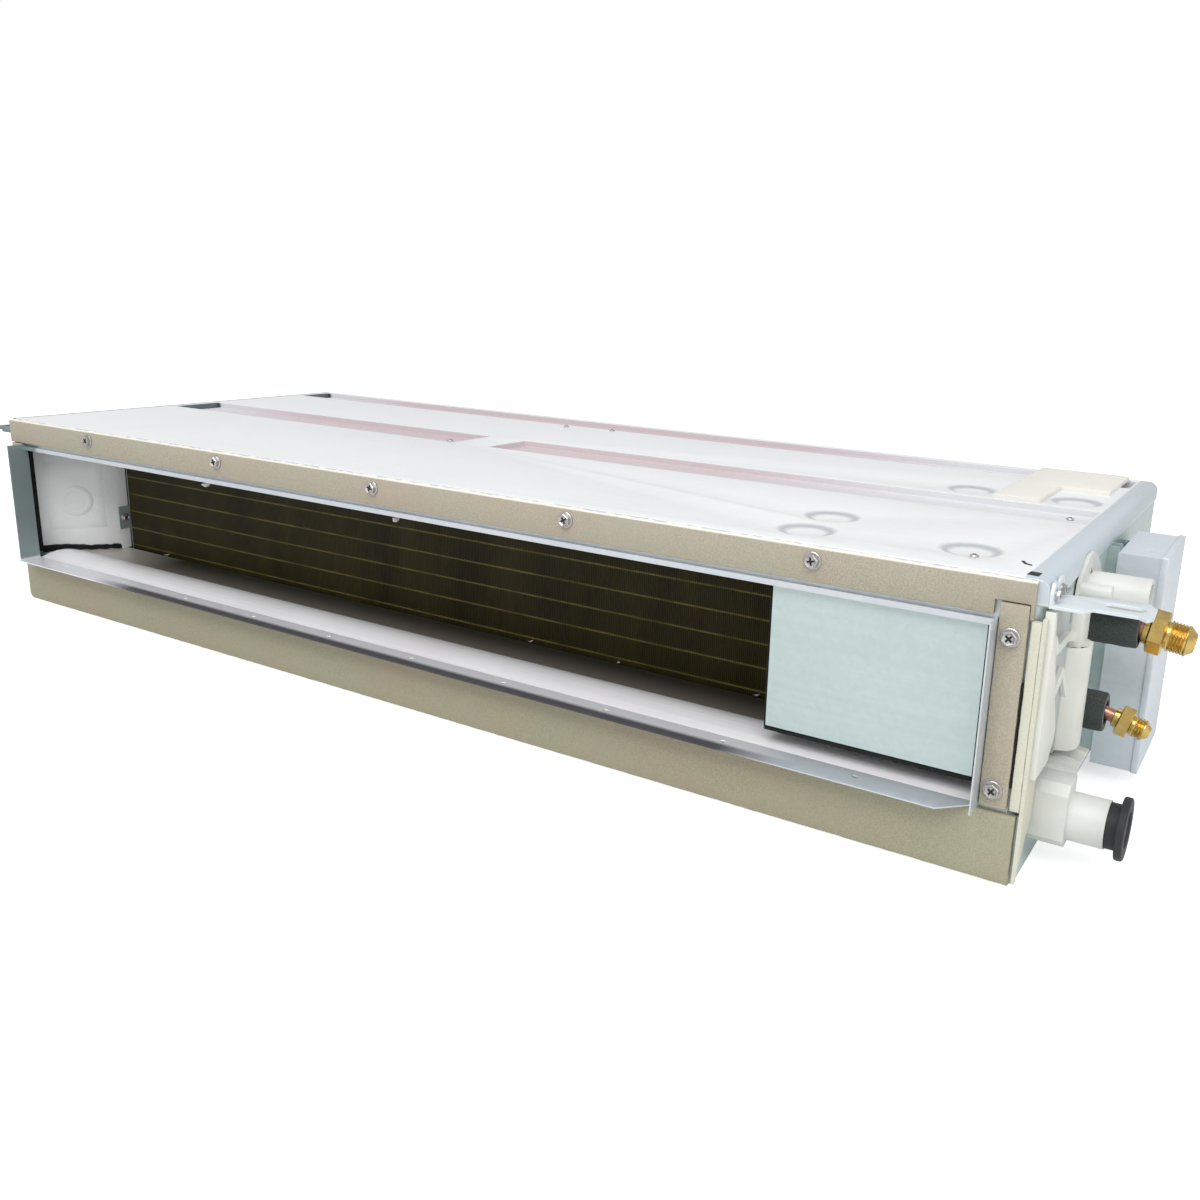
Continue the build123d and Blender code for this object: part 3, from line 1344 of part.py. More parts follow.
def hanger_bracket(slot_turn):
    """A hanger as it sits on a wall at x = 0, reaching out along +X from depth 0."""
    z0 = HANGER_HEIGHT
    z1 = z0 + HANGER_THICK
    plate = slab_z(z0, z1, HANGER_OUTLINE)
    start = HANGER_OUTLINE[0][1]
    end = start + HANGER_LEG_WIDTH
    middle = (start + end) / 2
    top = z0 + HANGER_LEG
    shoulder = top - HANGER_LEG / 3
    leg = [
        (start, z1),
        (start, shoulder),
        (start + 4, top),
        (middle - 4, top),
        (middle, shoulder + 2),
        (middle + 4, top),
        (end - 4, top),
        (end, shoulder),
        (end, z1),
    ]
    plate += slab_x(0, HANGER_THICK, leg)
    slot = Rot(0, 0, slot_turn) * extrude(SlotOverall(SLOT_LENGTH, SLOT_WIDTH), 2 * HANGER_THICK)
    return plate - Pos(SLOT_REACH, SLOT_DEPTH, z0 - HANGER_THICK / 2) * slot


def front_hanger_right():
    return Pos(HALF_WIDTH, 0, 0) * hanger_bracket(0)


def front_hanger_left():
    return mirrored(front_hanger_right())


def rear_hanger_right():
    return Pos(REAR_HANGER_X, CASING_DEPTH, 0) * (Rot(0, 0, 90) * hanger_bracket(90))


def rear_hanger_left():
    return mirrored(rear_hanger_right())


NODES = {
    "base_panel": base_panel,
    "top_panel": top_panel,
    "left_side_panel": left_side_panel,
    "right_side_panel": right_side_panel,
    "rear_panel": rear_panel,
    "outlet_collar": outlet_collar,
    "outlet_sill": outlet_sill,
    "blanking_plate": blanking_plate,
    "fan_partition": fan_partition,
    "top_foam_band": top_foam_band,
    "lower_foam_panel": lower_foam_panel,
    "corner_foam_strips": corner_foam_strips,
    "right_side_foam": right_side_foam,
    "top_foam_pad": top_foam_pad,
    "left_foam_guide": left_foam_guide,
    "coil_fins": coil_fins,
    "coil_tubes": coil_tubes,
    "return_bends": return_bends,
    "left_coil_plate": left_coil_plate,
    "right_coil_plate": right_coil_plate,
    "gas_header": gas_header,
    "gas_pipe": gas_pipe,
    "gas_fitting": gas_fitting,
    "gas_sleeve": gas_sleeve,
    "liquid_header": liquid_header,
    "liquid_pipe": liquid_pipe,
    "liquid_fitting": liquid_fitting,
    "liquid_sleeve": liquid_sleeve,
    "pipe_cover": pipe_cover,
    "drip_shelf": drip_shelf,
    "drain_pan": drain_pan,
    "drain_socket": drain_socket,
    "drain_plug": drain_plug,
    "drain_pump": drain_pump,
    "pump_bracket": pump_bracket,
    "pump_outlet_pipe": pump_outlet_pipe,
    "float_switch": float_switch,
    "switch_float": switch_float,
    "fan_housing_lower": fan_housing_lower,
    "fan_housing_upper": fan_housing_upper,
    "motor_shaft": motor_shaft,
    "extension_shaft": extension_shaft,
    "shaft_coupling": shaft_coupling,
    "shaft_bearing": shaft_bearing,
    "fan_motor": fan_motor,
    "motor_bracket": motor_bracket,
    "air_filter": air_filter,
    "control_box": control_box,
    "control_box_cover": control_box_cover,
    "control_box_bracket": control_box_bracket,
    "circuit_board": circuit_board,
    "cable_grommets": cable_grommets,
    "front_hanger_right": front_hanger_right,
    "front_hanger_left": front_hanger_left,
    "rear_hanger_right": rear_hanger_right,
    "rear_hanger_left": rear_hanger_left,
}

os.makedirs("parts", exist_ok=True)
for name, make in NODES.items():
    save(name, make())
for number, place in enumerate(FAN_PLACES, start=1):
    save(f"fan_wheel_{number}", fan_wheel(place))
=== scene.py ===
import bpy
import bmesh
import json
import math
import random
from mathutils import Matrix, Vector


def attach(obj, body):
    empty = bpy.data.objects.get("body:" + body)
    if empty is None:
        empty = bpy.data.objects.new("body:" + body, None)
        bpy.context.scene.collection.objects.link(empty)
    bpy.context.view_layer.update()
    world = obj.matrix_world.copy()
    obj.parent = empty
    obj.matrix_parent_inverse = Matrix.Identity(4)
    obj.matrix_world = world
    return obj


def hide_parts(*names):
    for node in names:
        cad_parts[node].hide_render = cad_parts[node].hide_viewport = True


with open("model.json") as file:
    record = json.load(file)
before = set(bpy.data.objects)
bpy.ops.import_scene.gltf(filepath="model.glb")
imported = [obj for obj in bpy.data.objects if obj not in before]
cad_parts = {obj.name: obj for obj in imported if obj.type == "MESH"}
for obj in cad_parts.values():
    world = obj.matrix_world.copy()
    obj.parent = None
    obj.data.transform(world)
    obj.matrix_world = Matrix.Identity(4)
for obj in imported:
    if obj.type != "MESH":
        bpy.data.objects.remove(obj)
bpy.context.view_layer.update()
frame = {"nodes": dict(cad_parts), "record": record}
random.seed(4)

# Looks of a ducted air conditioner indoor unit. Metres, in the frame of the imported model.
# Depths are distances behind the outlet face, which lies at y = -HALF_DEPTH.

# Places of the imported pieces
HALF_DEPTH = 0.22
HALF_WIDTH = 0.55
CASING_TOP = 0.2
FOAM_HALF = 0.544
BAND_BOTTOM = 0.175
BAND_NOTCH = 0.1843
STRIP_EDGE = 0.541
STRIP_INNER = 0.5233
STRIP_BOTTOM = 0.051
STRIP_TOP = 0.1747
LOWER_FOAM_TOP = 0.0477
GUIDE_FOOT = 0.046
GUIDE_WALL = -0.5477
GUIDE_COIL = -0.4998
PIPE_DEPTH = 0.142
GAS_HEIGHT = 0.143
LIQUID_HEIGHT = 0.076
DRAIN_DEPTH = 0.043
DRAIN_HEIGHT = 0.037
BOX_FACE = 0.592
BOX_REAR = 0.297


# Mesh building


def at(x, depth, height):
    """A point given by its depth behind the outlet face."""
    return Vector((x, depth - HALF_DEPTH, height))


def add_mesh(name, shape, material, body="casing", replaces=(), crease=None):
    """One mesh piece that rides on a body. Edges flatter than the crease angle shade smoothly."""
    vertices, faces = shape
    mesh = bpy.data.meshes.new(name)
    mesh.from_pydata([tuple(v) for v in vertices], [], faces)
    mesh.validate()
    mesh.update()
    return add_piece(name, mesh, material, body, replaces, crease)


def add_piece(name, mesh, material, body="casing", replaces=(), crease=None):
    mesh.materials.clear()
    mesh.materials.append(material)
    smooth = crease is not None
    for polygon in mesh.polygons:
        polygon.use_smooth = smooth
        polygon.material_index = 0
    if smooth:
        mesh.set_sharp_from_angle(angle=math.radians(crease))
    piece = bpy.data.objects.new(name, mesh)
    bpy.context.scene.collection.objects.link(piece)
    if body:
        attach(piece, body)
    if replaces:
        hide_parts(*replaces)
    return piece


def joined(shapes):
    """Several vertex and face lists as one."""
    vertices, faces = [], []
    for more_vertices, more_faces in shapes:
        first = len(vertices)
        vertices += more_vertices
        faces += [tuple(first + i for i in face) for face in more_faces]
    return vertices, faces


def moved(shape, matrix):
    return [matrix @ Vector(v) for v in shape[0]], shape[1]


def facing(direction, place, turn=0.0):
    """A matrix that stands a shape's +Z along a direction at a place."""
    stand = Vector(direction).to_track_quat("Z", "Y").to_matrix().to_4x4()
    return Matrix.Translation(place) @ stand @ Matrix.Rotation(turn, 4, "Z")


def ring(count, radius, height, first=0.0):
    angles = [first + 2 * math.pi * i / count for i in range(count)]
    return [(radius * math.cos(a), radius * math.sin(a), height) for a in angles]


def lofted(rings, close_start=True, close_end=True):
    """A skin over rings with equal numbers of points, the first ring lowest."""
    count = len(rings[0])
    vertices = [point for one in rings for point in one]
    faces = []
    for level in range(len(rings) - 1):
        low, high = level * count, (level + 1) * count
        for i in range(count):
            j = (i + 1) % count
            faces.append((low + i, low + j, high + j, high + i))
    if close_start:
        faces.append(tuple(reversed(range(count))))
    if close_end:
        last = (len(rings) - 1) * count
        faces.append(tuple(last + i for i in range(count)))
    return vertices, faces


def turned(profile, count=56):
    """A piece turned about Z from (radius, height) points. It closes where both ends meet."""
    rings = [ring(count, radius, height) for radius, height in profile]
    hollow = profile[0] == profile[-1]
    return lofted(rings, not hollow, not hollow)


def softened(name, node, material, width, crease=40.0):
    """A copy of a node's shape with its sharp edges broken, which stands for the node."""
    mesh = frame["nodes"][node].data.copy()
    work = bmesh.new()
    work.from_mesh(mesh)
    bmesh.ops.remove_doubles(work, verts=work.verts, dist=0.00001)
    bmesh.ops.dissolve_limit(work, angle_limit=math.radians(1.0), verts=work.verts, edges=work.edges)
    limit = math.radians(crease)
    sharp = [edge for edge in work.edges if edge.is_manifold and edge.calc_face_angle(0.0) > limit]
    bmesh.ops.bevel(
        work, geom=sharp, offset=width, segments=2, profile=0.6, affect="EDGES", clamp_overlap=True
    )
    work.to_mesh(mesh)
    work.free()
    return add_piece(name, mesh, material, replaces=(node,), crease=crease)


def along_edges(outline, step):
    """Points along a closed outline, about a step apart, with its corners kept."""
    points = []
    for start, end in zip(outline, outline[1:] + outline[:1]):
        first, last = Vector(start), Vector(end)
        pieces = max(1, round((last - first).length / step))
        points += [first.lerp(last, i / pieces) for i in range(pieces)]
    return points


def inset(points, distance):
    """Every point of a closed outline moved inwards. The outline runs anticlockwise."""
    moved_points = []
    for before, point, after in zip(points[-1:] + points[:-1], points, points[1:] + points[:1]):
        first, second = (point - before).normalized(), (after - point).normalized()
        normal = Vector((-first.y - second.y, first.x + second.x))
        scale = max(0.35, normal.length / 2)
        moved_points.append(point + normal.normalized() * distance / scale)
    return moved_points


def soft_profile(thickness, soft):
    """A soft front edge, as (way in, height) from the back to the face."""
    step = soft * 0.3
    return [(0, 0), (0, thickness - soft), (step, thickness - step), (soft, thickness)]


def foam_sheet(outline, thickness, matrix, uneven=0.0004, soft=0.0009, step=0.005):
    """Cut foam with soft front edges and a slightly uneven cut. Its back lies on z = 0."""
    edge = along_edges(outline, step)
    cut = [p + (q - p) * random.random() for p, q in zip(edge, inset(edge, uneven))]
    rings = []
    for distance, height in soft_profile(thickness, soft):
        rings.append([(p.x, p.y, height) for p in (inset(cut, distance) if distance else cut)])
    return moved(lofted(rings), matrix)


def foam_strip(columns, thickness, matrix, uneven, soft=0.0009, step=0.004):
    """A long strip of cut foam. Columns are (x, lower edge, upper edge), and both cuts waver a little."""
    filled = []
    for first, second in zip(columns, columns[1:]):
        pieces = max(1, round((second[0] - first[0]) / step))
        for i in range(pieces):
            filled.append(tuple(a + (b - a) * (i / pieces) for a, b in zip(first, second)))
    filled.append(columns[-1])
    profile = soft_profile(thickness, soft)
    sections = []
    for x, low, high in filled:
        low += random.uniform(0, uneven) * 0.4
        high -= random.uniform(0, uneven)
        leftmost = columns[0][0] + random.uniform(0, uneven)
        rightmost = columns[-1][0] - random.uniform(0, uneven)
        x = min(max(x, leftmost), rightmost)
        section = [(x, low + way, out) for way, out in profile]
        section += [(x, high - way, out) for way, out in reversed(profile)]
        sections.append(section)
    return moved(lofted(sections), matrix)


def front_plane(depth):
    """Outlines given as (x, height) on a plane that faces away from the outlet's front."""
    return Matrix.Translation((0, depth - HALF_DEPTH, 0)) @ Matrix.Rotation(math.radians(90), 4, "X")


def side_plane(x):
    """Outlines given as (depth, height) on a plane that faces the pipe side."""
    return Matrix(((0, 0, 1, x), (1, 0, 0, -HALF_DEPTH), (0, 1, 0, 0), (0, 0, 0, 1)))


def top_plane():
    """Outlines given as (x, depth) on the casing's top."""
    return Matrix.Translation((0, -HALF_DEPTH, CASING_TOP))


def rectangle(x0, x1, y0, y1):
    return [(x0, y0), (x1, y0), (x1, y1), (x0, y1)]


# Shader helpers

VECTOR = "NodeSocketVector"
NUMBER = "NodeSocketFloat"
COLOUR = "NodeSocketColor"
COAT_OUTPUTS = [("Colour", COLOUR), ("Gloss change", NUMBER), ("Height", NUMBER)]
ZINC_CRYSTALS = 260.0
FOAM_CELL_SCALE = 950.0
MOULD_GRAIN_SCALE = 1200.0


def link(tree, source, target):
    tree.links.new(source, target)


def new_group(name, inputs, outputs):
    """An empty shader node group with its sockets."""
    tree = bpy.data.node_groups.new(name, "ShaderNodeTree")
    for label, kind, default in inputs:
        socket = tree.interface.new_socket(name=label, in_out="INPUT", socket_type=kind)
        if default is not None:
            socket.default_value = default
    for label, kind in outputs:
        tree.interface.new_socket(name=label, in_out="OUTPUT", socket_type=kind)
    return tree, tree.nodes.new("NodeGroupInput").outputs, tree.nodes.new("NodeGroupOutput").inputs


def math_node(tree, operation, *values, clamp=False):
    node = tree.nodes.new("ShaderNodeMath")
    node.operation = operation
    node.use_clamp = clamp
    for socket, value in zip(node.inputs, values):
        if isinstance(value, (int, float)):
            socket.default_value = value
        else:
            link(tree, value, socket)
    return node.outputs[0]


def noise_mask(tree, coordinates, scale, low, high, detail=3.0, stretch=None):
    """Noise from 0 to 1, with everything under low at 0 and over high at 1."""
    if stretch:
        mapping = tree.nodes.new("ShaderNodeMapping")
        mapping.inputs["Scale"].default_value = stretch
        link(tree, coordinates, mapping.inputs["Vector"])
        coordinates = mapping.outputs["Vector"]
    texture = tree.nodes.new("ShaderNodeTexNoise")
    if isinstance(scale, (int, float)):
        texture.inputs["Scale"].default_value = scale
    else:
        link(tree, scale, texture.inputs["Scale"])
    texture.inputs["Detail"].default_value = detail
    link(tree, coordinates, texture.inputs["Vector"])
    spread = tree.nodes.new("ShaderNodeMapRange")
    spread.inputs["From Min"].default_value = low
    spread.inputs["From Max"].default_value = high
    link(tree, texture.outputs["Fac"], spread.inputs["Value"])
    return spread.outputs["Result"]


def mix_colour(tree, mask, first, second):
    node = tree.nodes.new("ShaderNodeMix")
    node.data_type = "RGBA"
    link(tree, mask, node.inputs["Factor"])
    for socket, value in ((node.inputs[6], first), (node.inputs[7], second)):
        if isinstance(value, tuple):
            socket.default_value = (*value, 1.0)
        else:
            link(tree, value, socket)
    return node.outputs[2]


def axis_of(tree, coordinates, axis):
    split = tree.nodes.new("ShaderNodeSeparateXYZ")
    link(tree, coordinates, split.inputs[0])
    return split.outputs[axis]


def between(tree, value, low, high, soft):
    """A mask that is 1 between two values and fades over a short way at each end."""
    rise = tree.nodes.new("ShaderNodeMapRange")
    rise.inputs["From Min"].default_value = low - soft
    rise.inputs["From Max"].default_value = low + soft
    link(tree, value, rise.inputs["Value"])
    fall = tree.nodes.new("ShaderNodeMapRange")
    fall.inputs["From Min"].default_value = high + soft
    fall.inputs["From Max"].default_value = high - soft
    link(tree, value, fall.inputs["Value"])
    return math_node(tree, "MULTIPLY", rise.outputs[0], fall.outputs[0])


def foam_cells_group():
    """Closed-cell foam: pale and dark cells over a slow change of tone."""
    inputs = [("Vector", VECTOR, None), ("Scale", NUMBER, FOAM_CELL_SCALE)]
    inputs += [(label, COLOUR, None) for label in ("Colour", "Dark", "Pale", "Blush")]
    tree, given, out = new_group("foam_cells", inputs, [("Colour", COLOUR), ("Height", NUMBER)])
    cells = noise_mask(tree, given["Vector"], given["Scale"], 0.38, 0.64, 3.0)
    tone = noise_mask(tree, given["Vector"], 14.0, 0.35, 0.7)
    blush = noise_mask(tree, given["Vector"], 9.0, 0.42, 0.66, 4.0)
    skin = mix_colour(tree, blush, given["Colour"], given["Blush"])
    speckled = mix_colour(tree, cells, given["Dark"], given["Pale"])
    smooth = math_node(tree, "MULTIPLY_ADD", tone, 0.3, 0.45)
    link(tree, mix_colour(tree, smooth, speckled, skin), out["Colour"])
    link(tree, cells, out["Height"])
    return tree


def zinc_coat_group():
    """A zinc coat: fine crystals, cloudy patches and faint rolling lines along X."""
    inputs = [("Vector", VECTOR, None), ("Scale", NUMBER, ZINC_CRYSTALS)]
    inputs += [(label, COLOUR, None) for label in ("Colour", "Dark")]
    tree, given, out = new_group("zinc_coat", inputs, COAT_OUTPUTS)
    crystals = tree.nodes.new("ShaderNodeTexVoronoi")
    link(tree, given["Vector"], crystals.inputs["Vector"])
    link(tree, given["Scale"], crystals.inputs["Scale"])
    grey = tree.nodes.new("ShaderNodeSeparateColor")
    link(tree, crystals.outputs["Color"], grey.inputs["Color"])
    patches = noise_mask(tree, given["Vector"], 8.0, 0.35, 0.7)
    lines = noise_mask(tree, given["Vector"], 1.0, 0.35, 0.7, 2.0, (3.0, 260.0, 260.0))
    wear = math_node(tree, "MULTIPLY", grey.outputs[0], 0.16)
    wear = math_node(tree, "MULTIPLY_ADD", patches, 0.3, wear)
    wear = math_node(tree, "MULTIPLY_ADD", lines, 0.16, wear)
    link(tree, mix_colour(tree, wear, given["Colour"], given["Dark"]), out["Colour"])
    link(tree, math_node(tree, "MULTIPLY", grey.outputs[1], 0.12), out["Gloss change"])
    link(tree, math_node(tree, "ADD", patches, lines), out["Height"])
    return tree


def moulding_grain_group():
    """Moulded or painted surfaces: slight unevenness, dust and a fine grain."""
    inputs = [("Vector", VECTOR, None), ("Scale", NUMBER, 50.0), ("Grain", NUMBER, MOULD_GRAIN_SCALE)]
    inputs += [(label, COLOUR, None) for label in ("Colour", "Dark")]
    tree, given, out = new_group("moulding_grain", inputs, COAT_OUTPUTS)
    uneven = noise_mask(tree, given["Vector"], given["Scale"], 0.35, 0.7)
    grain = noise_mask(tree, given["Vector"], given["Grain"], 0.4, 0.6, 1.0)
    link(tree, mix_colour(tree, uneven, given["Colour"], given["Dark"]), out["Colour"])
    link(tree, math_node(tree, "MULTIPLY", uneven, 0.1), out["Gloss change"])
    link(tree, grain, out["Height"])
    return tree


FOAM_CELLS = foam_cells_group()
ZINC_COAT = zinc_coat_group()
MOULDING_GRAIN = moulding_grain_group()


def surface(name, colour, roughness, metallic=0.0):
    """A material with a Principled shader, and its object coordinates."""
    material = bpy.data.materials.new(name)
    material.use_nodes = True
    tree = material.node_tree
    shader = tree.nodes["Principled BSDF"]
    shader.inputs["Base Color"].default_value = (*colour, 1.0)
    shader.inputs["Roughness"].default_value = roughness
    shader.inputs["Metallic"].default_value = metallic
    coordinates = tree.nodes.new("ShaderNodeTexCoord").outputs["Object"]
    return material, tree, shader, coordinates


def placed_group(tree, group, coordinates, **values):
    """A shared group in a material, with its numbers and colours set."""
    node = tree.nodes.new("ShaderNodeGroup")
    node.node_tree = group
    link(tree, coordinates, node.inputs["Vector"])
    for label, value in values.items():
        node.inputs[label].default_value = (*value, 1.0) if isinstance(value, tuple) else value
    return node.outputs


def bump(tree, shader, height, strength, distance):
    node = tree.nodes.new("ShaderNodeBump")
    node.inputs["Strength"].default_value = strength
    node.inputs["Distance"].default_value = distance
    link(tree, height, node.inputs["Height"])
    link(tree, node.outputs["Normal"], shader.inputs["Normal"])


def banded(tree, coordinates, shade, bands):
    """Tints parts of a surface. A band is a colour and the spans, each an axis, two ends and a fade."""
    for tint, spans in bands:
        mask = None
        for axis, low, high, soft in spans:
            span = between(tree, axis_of(tree, coordinates, axis), low, high, soft)
            mask = span if mask is None else math_node(tree, "MULTIPLY", mask, span)
        shade = mix_colour(tree, mask, shade, tint)
    return shade


def zinc(name, colour, dark, roughness, metallic, bands=()):
    """Galvanised sheet, with bands of tint, painted shade and painted highlight where it is folded or
    stamped.
    """
    material, tree, shader, coordinates = surface(name, colour, roughness, metallic)
    coat = placed_group(tree, ZINC_COAT, coordinates, Scale=ZINC_CRYSTALS, Colour=colour, Dark=dark)
    link(tree, banded(tree, coordinates, coat["Colour"], bands), shader.inputs["Base Color"])
    link(tree, math_node(tree, "ADD", coat["Gloss change"], roughness), shader.inputs["Roughness"])
    bump(tree, shader, coat["Height"], 0.05, 0.0003)
    return material


def foam(name, colour, dark, pale, blush=None, bands=()):
    """Cut foam sheet. The blush is a second tone in slow patches."""
    material, tree, shader, coordinates = surface(name, colour, 0.9)
    values = {"Colour": colour, "Dark": dark, "Pale": pale, "Blush": blush or colour}
    cells = placed_group(tree, FOAM_CELLS, coordinates, Scale=FOAM_CELL_SCALE, **values)
    link(tree, banded(tree, coordinates, cells["Colour"], bands), shader.inputs["Base Color"])
    bump(tree, shader, cells["Height"], 0.3, 0.0005)
    return material


def bead_foam(name, colour, dark):
    """Moulded bead foam: packed beads a few millimetres wide."""
    material, tree, shader, coordinates = surface(name, colour, 0.75)
    beads = tree.nodes.new("ShaderNodeTexVoronoi")
    beads.inputs["Scale"].default_value = 260.0
    link(tree, coordinates, beads.inputs["Vector"])
    seams = math_node(tree, "MULTIPLY", beads.outputs["Distance"], 0.8, clamp=True)
    tone = noise_mask(tree, coordinates, 30.0, 0.35, 0.7)
    mask = math_node(tree, "MULTIPLY_ADD", tone, 0.3, math_node(tree, "MULTIPLY", seams, 0.2))
    link(tree, mix_colour(tree, mask, colour, dark), shader.inputs["Base Color"])
    bump(tree, shader, math_node(tree, "SUBTRACT", 1.0, seams), 0.25, 0.0006)
    return material


def moulded(name, colour, roughness, metallic=0.0, shade=0.8, scale=50.0, bands=()):
    """Moulded, painted or cast pieces. The shade is how far the dull patches darken."""
    material, tree, shader, coordinates = surface(name, colour, roughness, metallic)
    dark = tuple(c * shade for c in colour)
    values = {"Scale": scale, "Grain": MOULD_GRAIN_SCALE, "Colour": colour, "Dark": dark}
    skin = placed_group(tree, MOULDING_GRAIN, coordinates, **values)
    link(tree, banded(tree, coordinates, skin["Colour"], bands), shader.inputs["Base Color"])
    link(tree, math_node(tree, "ADD", skin["Gloss change"], roughness), shader.inputs["Roughness"])
    bump(tree, shader, skin["Height"], 0.12, 0.0003)
    return material


def finned(name, edge, dark, tube_highlight):
    """The face of the coil: upright fin edges with painted shade in the gaps between them, and a painted
    highlight on each tube row as a thin bright line.
    """
    material, tree, shader, coordinates = surface(name, edge, 0.5)
    shader.inputs["Specular IOR Level"].default_value = 0.15
    across = axis_of(tree, coordinates, 0)
    up = axis_of(tree, coordinates, 2)
    wave = math_node(tree, "SINE", math_node(tree, "MULTIPLY", across, 2 * math.pi / FIN_PITCH))
    fins = math_node(tree, "MULTIPLY_ADD", wave, 0.5, 0.5)
    above = math_node(tree, "SUBTRACT", up, TUBE_ROW_START - TUBE_ROW_PITCH / 2)
    row = math_node(tree, "MODULO", above, TUBE_ROW_PITCH)
    line = between(tree, row, TUBE_ROW_PITCH / 2 - TUBE_LINE, TUBE_ROW_PITCH / 2 + TUBE_LINE, 0.0006)
    broken = noise_mask(tree, coordinates, 30.0, 0.3, 0.6, 3.0, (1.0, 1.0, 6.0))
    tone = noise_mask(tree, coordinates, 25.0, 0.35, 0.7, 3.0, (1.0, 1.0, 0.3))
    # Painted shade between the fin edges, mixed with a slow random tone
    depth = math_node(tree, "MULTIPLY_ADD", tone, 0.5, math_node(tree, "MULTIPLY", fins, 0.5))
    body = mix_colour(tree, depth, edge, dark)
    # Painted highlight along each tube row, broken up here and there
    shown = math_node(tree, "MULTIPLY", line, math_node(tree, "MULTIPLY_ADD", broken, 0.6, 0.4))
    link(tree, mix_colour(tree, shown, body, tube_highlight), shader.inputs["Base Color"])
    bump(tree, shader, fins, 0.8, 0.0008)
    return material


def woven(name, colour, dark, pitch):
    """Filter net between the bars of its frame."""
    material, tree, shader, coordinates = surface(name, colour, 0.7)
    height = None
    for axis in (0, 2):
        turns = math_node(tree, "MULTIPLY", axis_of(tree, coordinates, axis), 2 * math.pi / pitch)
        wave = math_node(tree, "MULTIPLY_ADD", math_node(tree, "SINE", turns), 0.5, 0.5)
        height = wave if height is None else math_node(tree, "MAXIMUM", height, wave)
    link(tree, mix_colour(tree, height, dark, colour), shader.inputs["Base Color"])
    bump(tree, shader, height, 0.6, 0.0006)
    return material


def brushed(name, colour, dark, roughness, metallic, bands=()):
    """Bright rolled sheet with streaks along X."""
    material, tree, shader, coordinates = surface(name, colour, roughness, metallic)
    streaks = noise_mask(tree, coordinates, 1.0, 0.3, 0.72, 4.0, (4.0, 420.0, 420.0))
    patches = noise_mask(tree, coordinates, 14.0, 0.35, 0.7)
    mask = math_node(tree, "MULTIPLY_ADD", streaks, 0.5, math_node(tree, "MULTIPLY", patches, 0.3))
    shade = banded(tree, coordinates, mix_colour(tree, mask, colour, dark), bands)
    link(tree, shade, shader.inputs["Base Color"])
    bump(tree, shader, streaks, 0.15, 0.0004)
    return material


FIN_PITCH = 0.0018
TUBE_ROW_START = 0.049
TUBE_ROW_PITCH = 0.02
TUBE_LINE = 0.0005
NET_PITCH = 0.003

# Tints of the top sheet's channels, and painted shade and shadow on its dimples, channel ends and rims
CHANNEL_TINT = (0.72, 0.73, 0.755)
CHANNEL_BLUSH = (0.64, 0.555, 0.575)
# Painted shadow in the deep left ends of the channels
CHANNEL_END_SHADOW = (0.05, 0.075, 0.075)
# Painted shade on the walls of the stamped dimples
DISH_SHADE = (0.5, 0.53, 0.56)
# Painted shade on the right rim's rounded bend
RIM_SHADE = (0.56, 0.63, 0.68)
# A painted shadow line along the left rim
EDGE_SHADOW_LINE = (0.1, 0.13, 0.13)

# Spans along an axis: the axis, both ends and the way over which the tint fades
INSIDE_RIMS = (0, -0.534, 0.534, 0.0006)
FRONT_CHANNEL = (1, -0.0306, 0.0306, 0.0004)
REAR_CHANNEL = (1, 0.1644, 0.2116, 0.0004)
CHANNEL_ENDS = (0, -0.5345, -0.5262, 0.002)
BLUSH_SPAN = (0, -0.46, 0.3, 0.1)
HOLLOW_HEIGHTS = (2, 0.19, 0.1994, 0.0003)
# The dimple, channel-end, right-rim and left-edge bands are painted shade and shadow; the channel bands are
# tints
TOP_BANDS = (
    (DISH_SHADE, ((2, 0.1979, 0.1994, 0.0005), INSIDE_RIMS)),
    (CHANNEL_TINT, (HOLLOW_HEIGHTS, INSIDE_RIMS, FRONT_CHANNEL)),
    (CHANNEL_TINT, (HOLLOW_HEIGHTS, INSIDE_RIMS, REAR_CHANNEL)),
    (CHANNEL_BLUSH, (HOLLOW_HEIGHTS, BLUSH_SPAN, FRONT_CHANNEL)),
    (CHANNEL_BLUSH, (HOLLOW_HEIGHTS, BLUSH_SPAN, REAR_CHANNEL)),
    (CHANNEL_END_SHADOW, (HOLLOW_HEIGHTS, CHANNEL_ENDS, FRONT_CHANNEL)),
    (CHANNEL_END_SHADOW, (HOLLOW_HEIGHTS, CHANNEL_ENDS, REAR_CHANNEL)),
    (RIM_SHADE, ((0, 0.5346, 0.56, 0.0008), (2, 0.185, 0.21, 0.001))),
    (EDGE_SHADOW_LINE, ((0, -0.5445, -0.5385, 0.0004), (2, 0.19, 0.21, 0.001))),
)
LIP_HEIGHTS = (2, 0.045, 0.0495, 0.0006)
COLLAR_BANDS = (
    # Painted shade on the left flange, a painted highlight along the lower lip, and painted shade at the
    # lip's front
    ((0.27, 0.335, 0.34), ((0, -0.56, -0.5, 0.002), (2, 0.0505, 0.3, 0.001))),
    ((0.9, 0.9, 0.94), ((1, -0.26, -0.21, 0.0008), LIP_HEIGHTS, (0, -0.6, 0.38, 0.02))),
    ((0.06, 0.06, 0.072), ((1, -0.2445, -0.2325, 0.0024), LIP_HEIGHTS, (0, -0.36, 0.373, 0.03))),
)
PAN_BANDS = (
    # Painted light on the floor's front part near the sill, and painted light and reflection at the left end
    # beside the air guide
    ((0.2, 0.178, 0.16), ((1, -0.2, -0.157, 0.02),)),
    ((0.62, 0.59, 0.55), ((0, -0.6, -0.44, 0.05), (2, 0.044, 0.05, 0.001))),
)
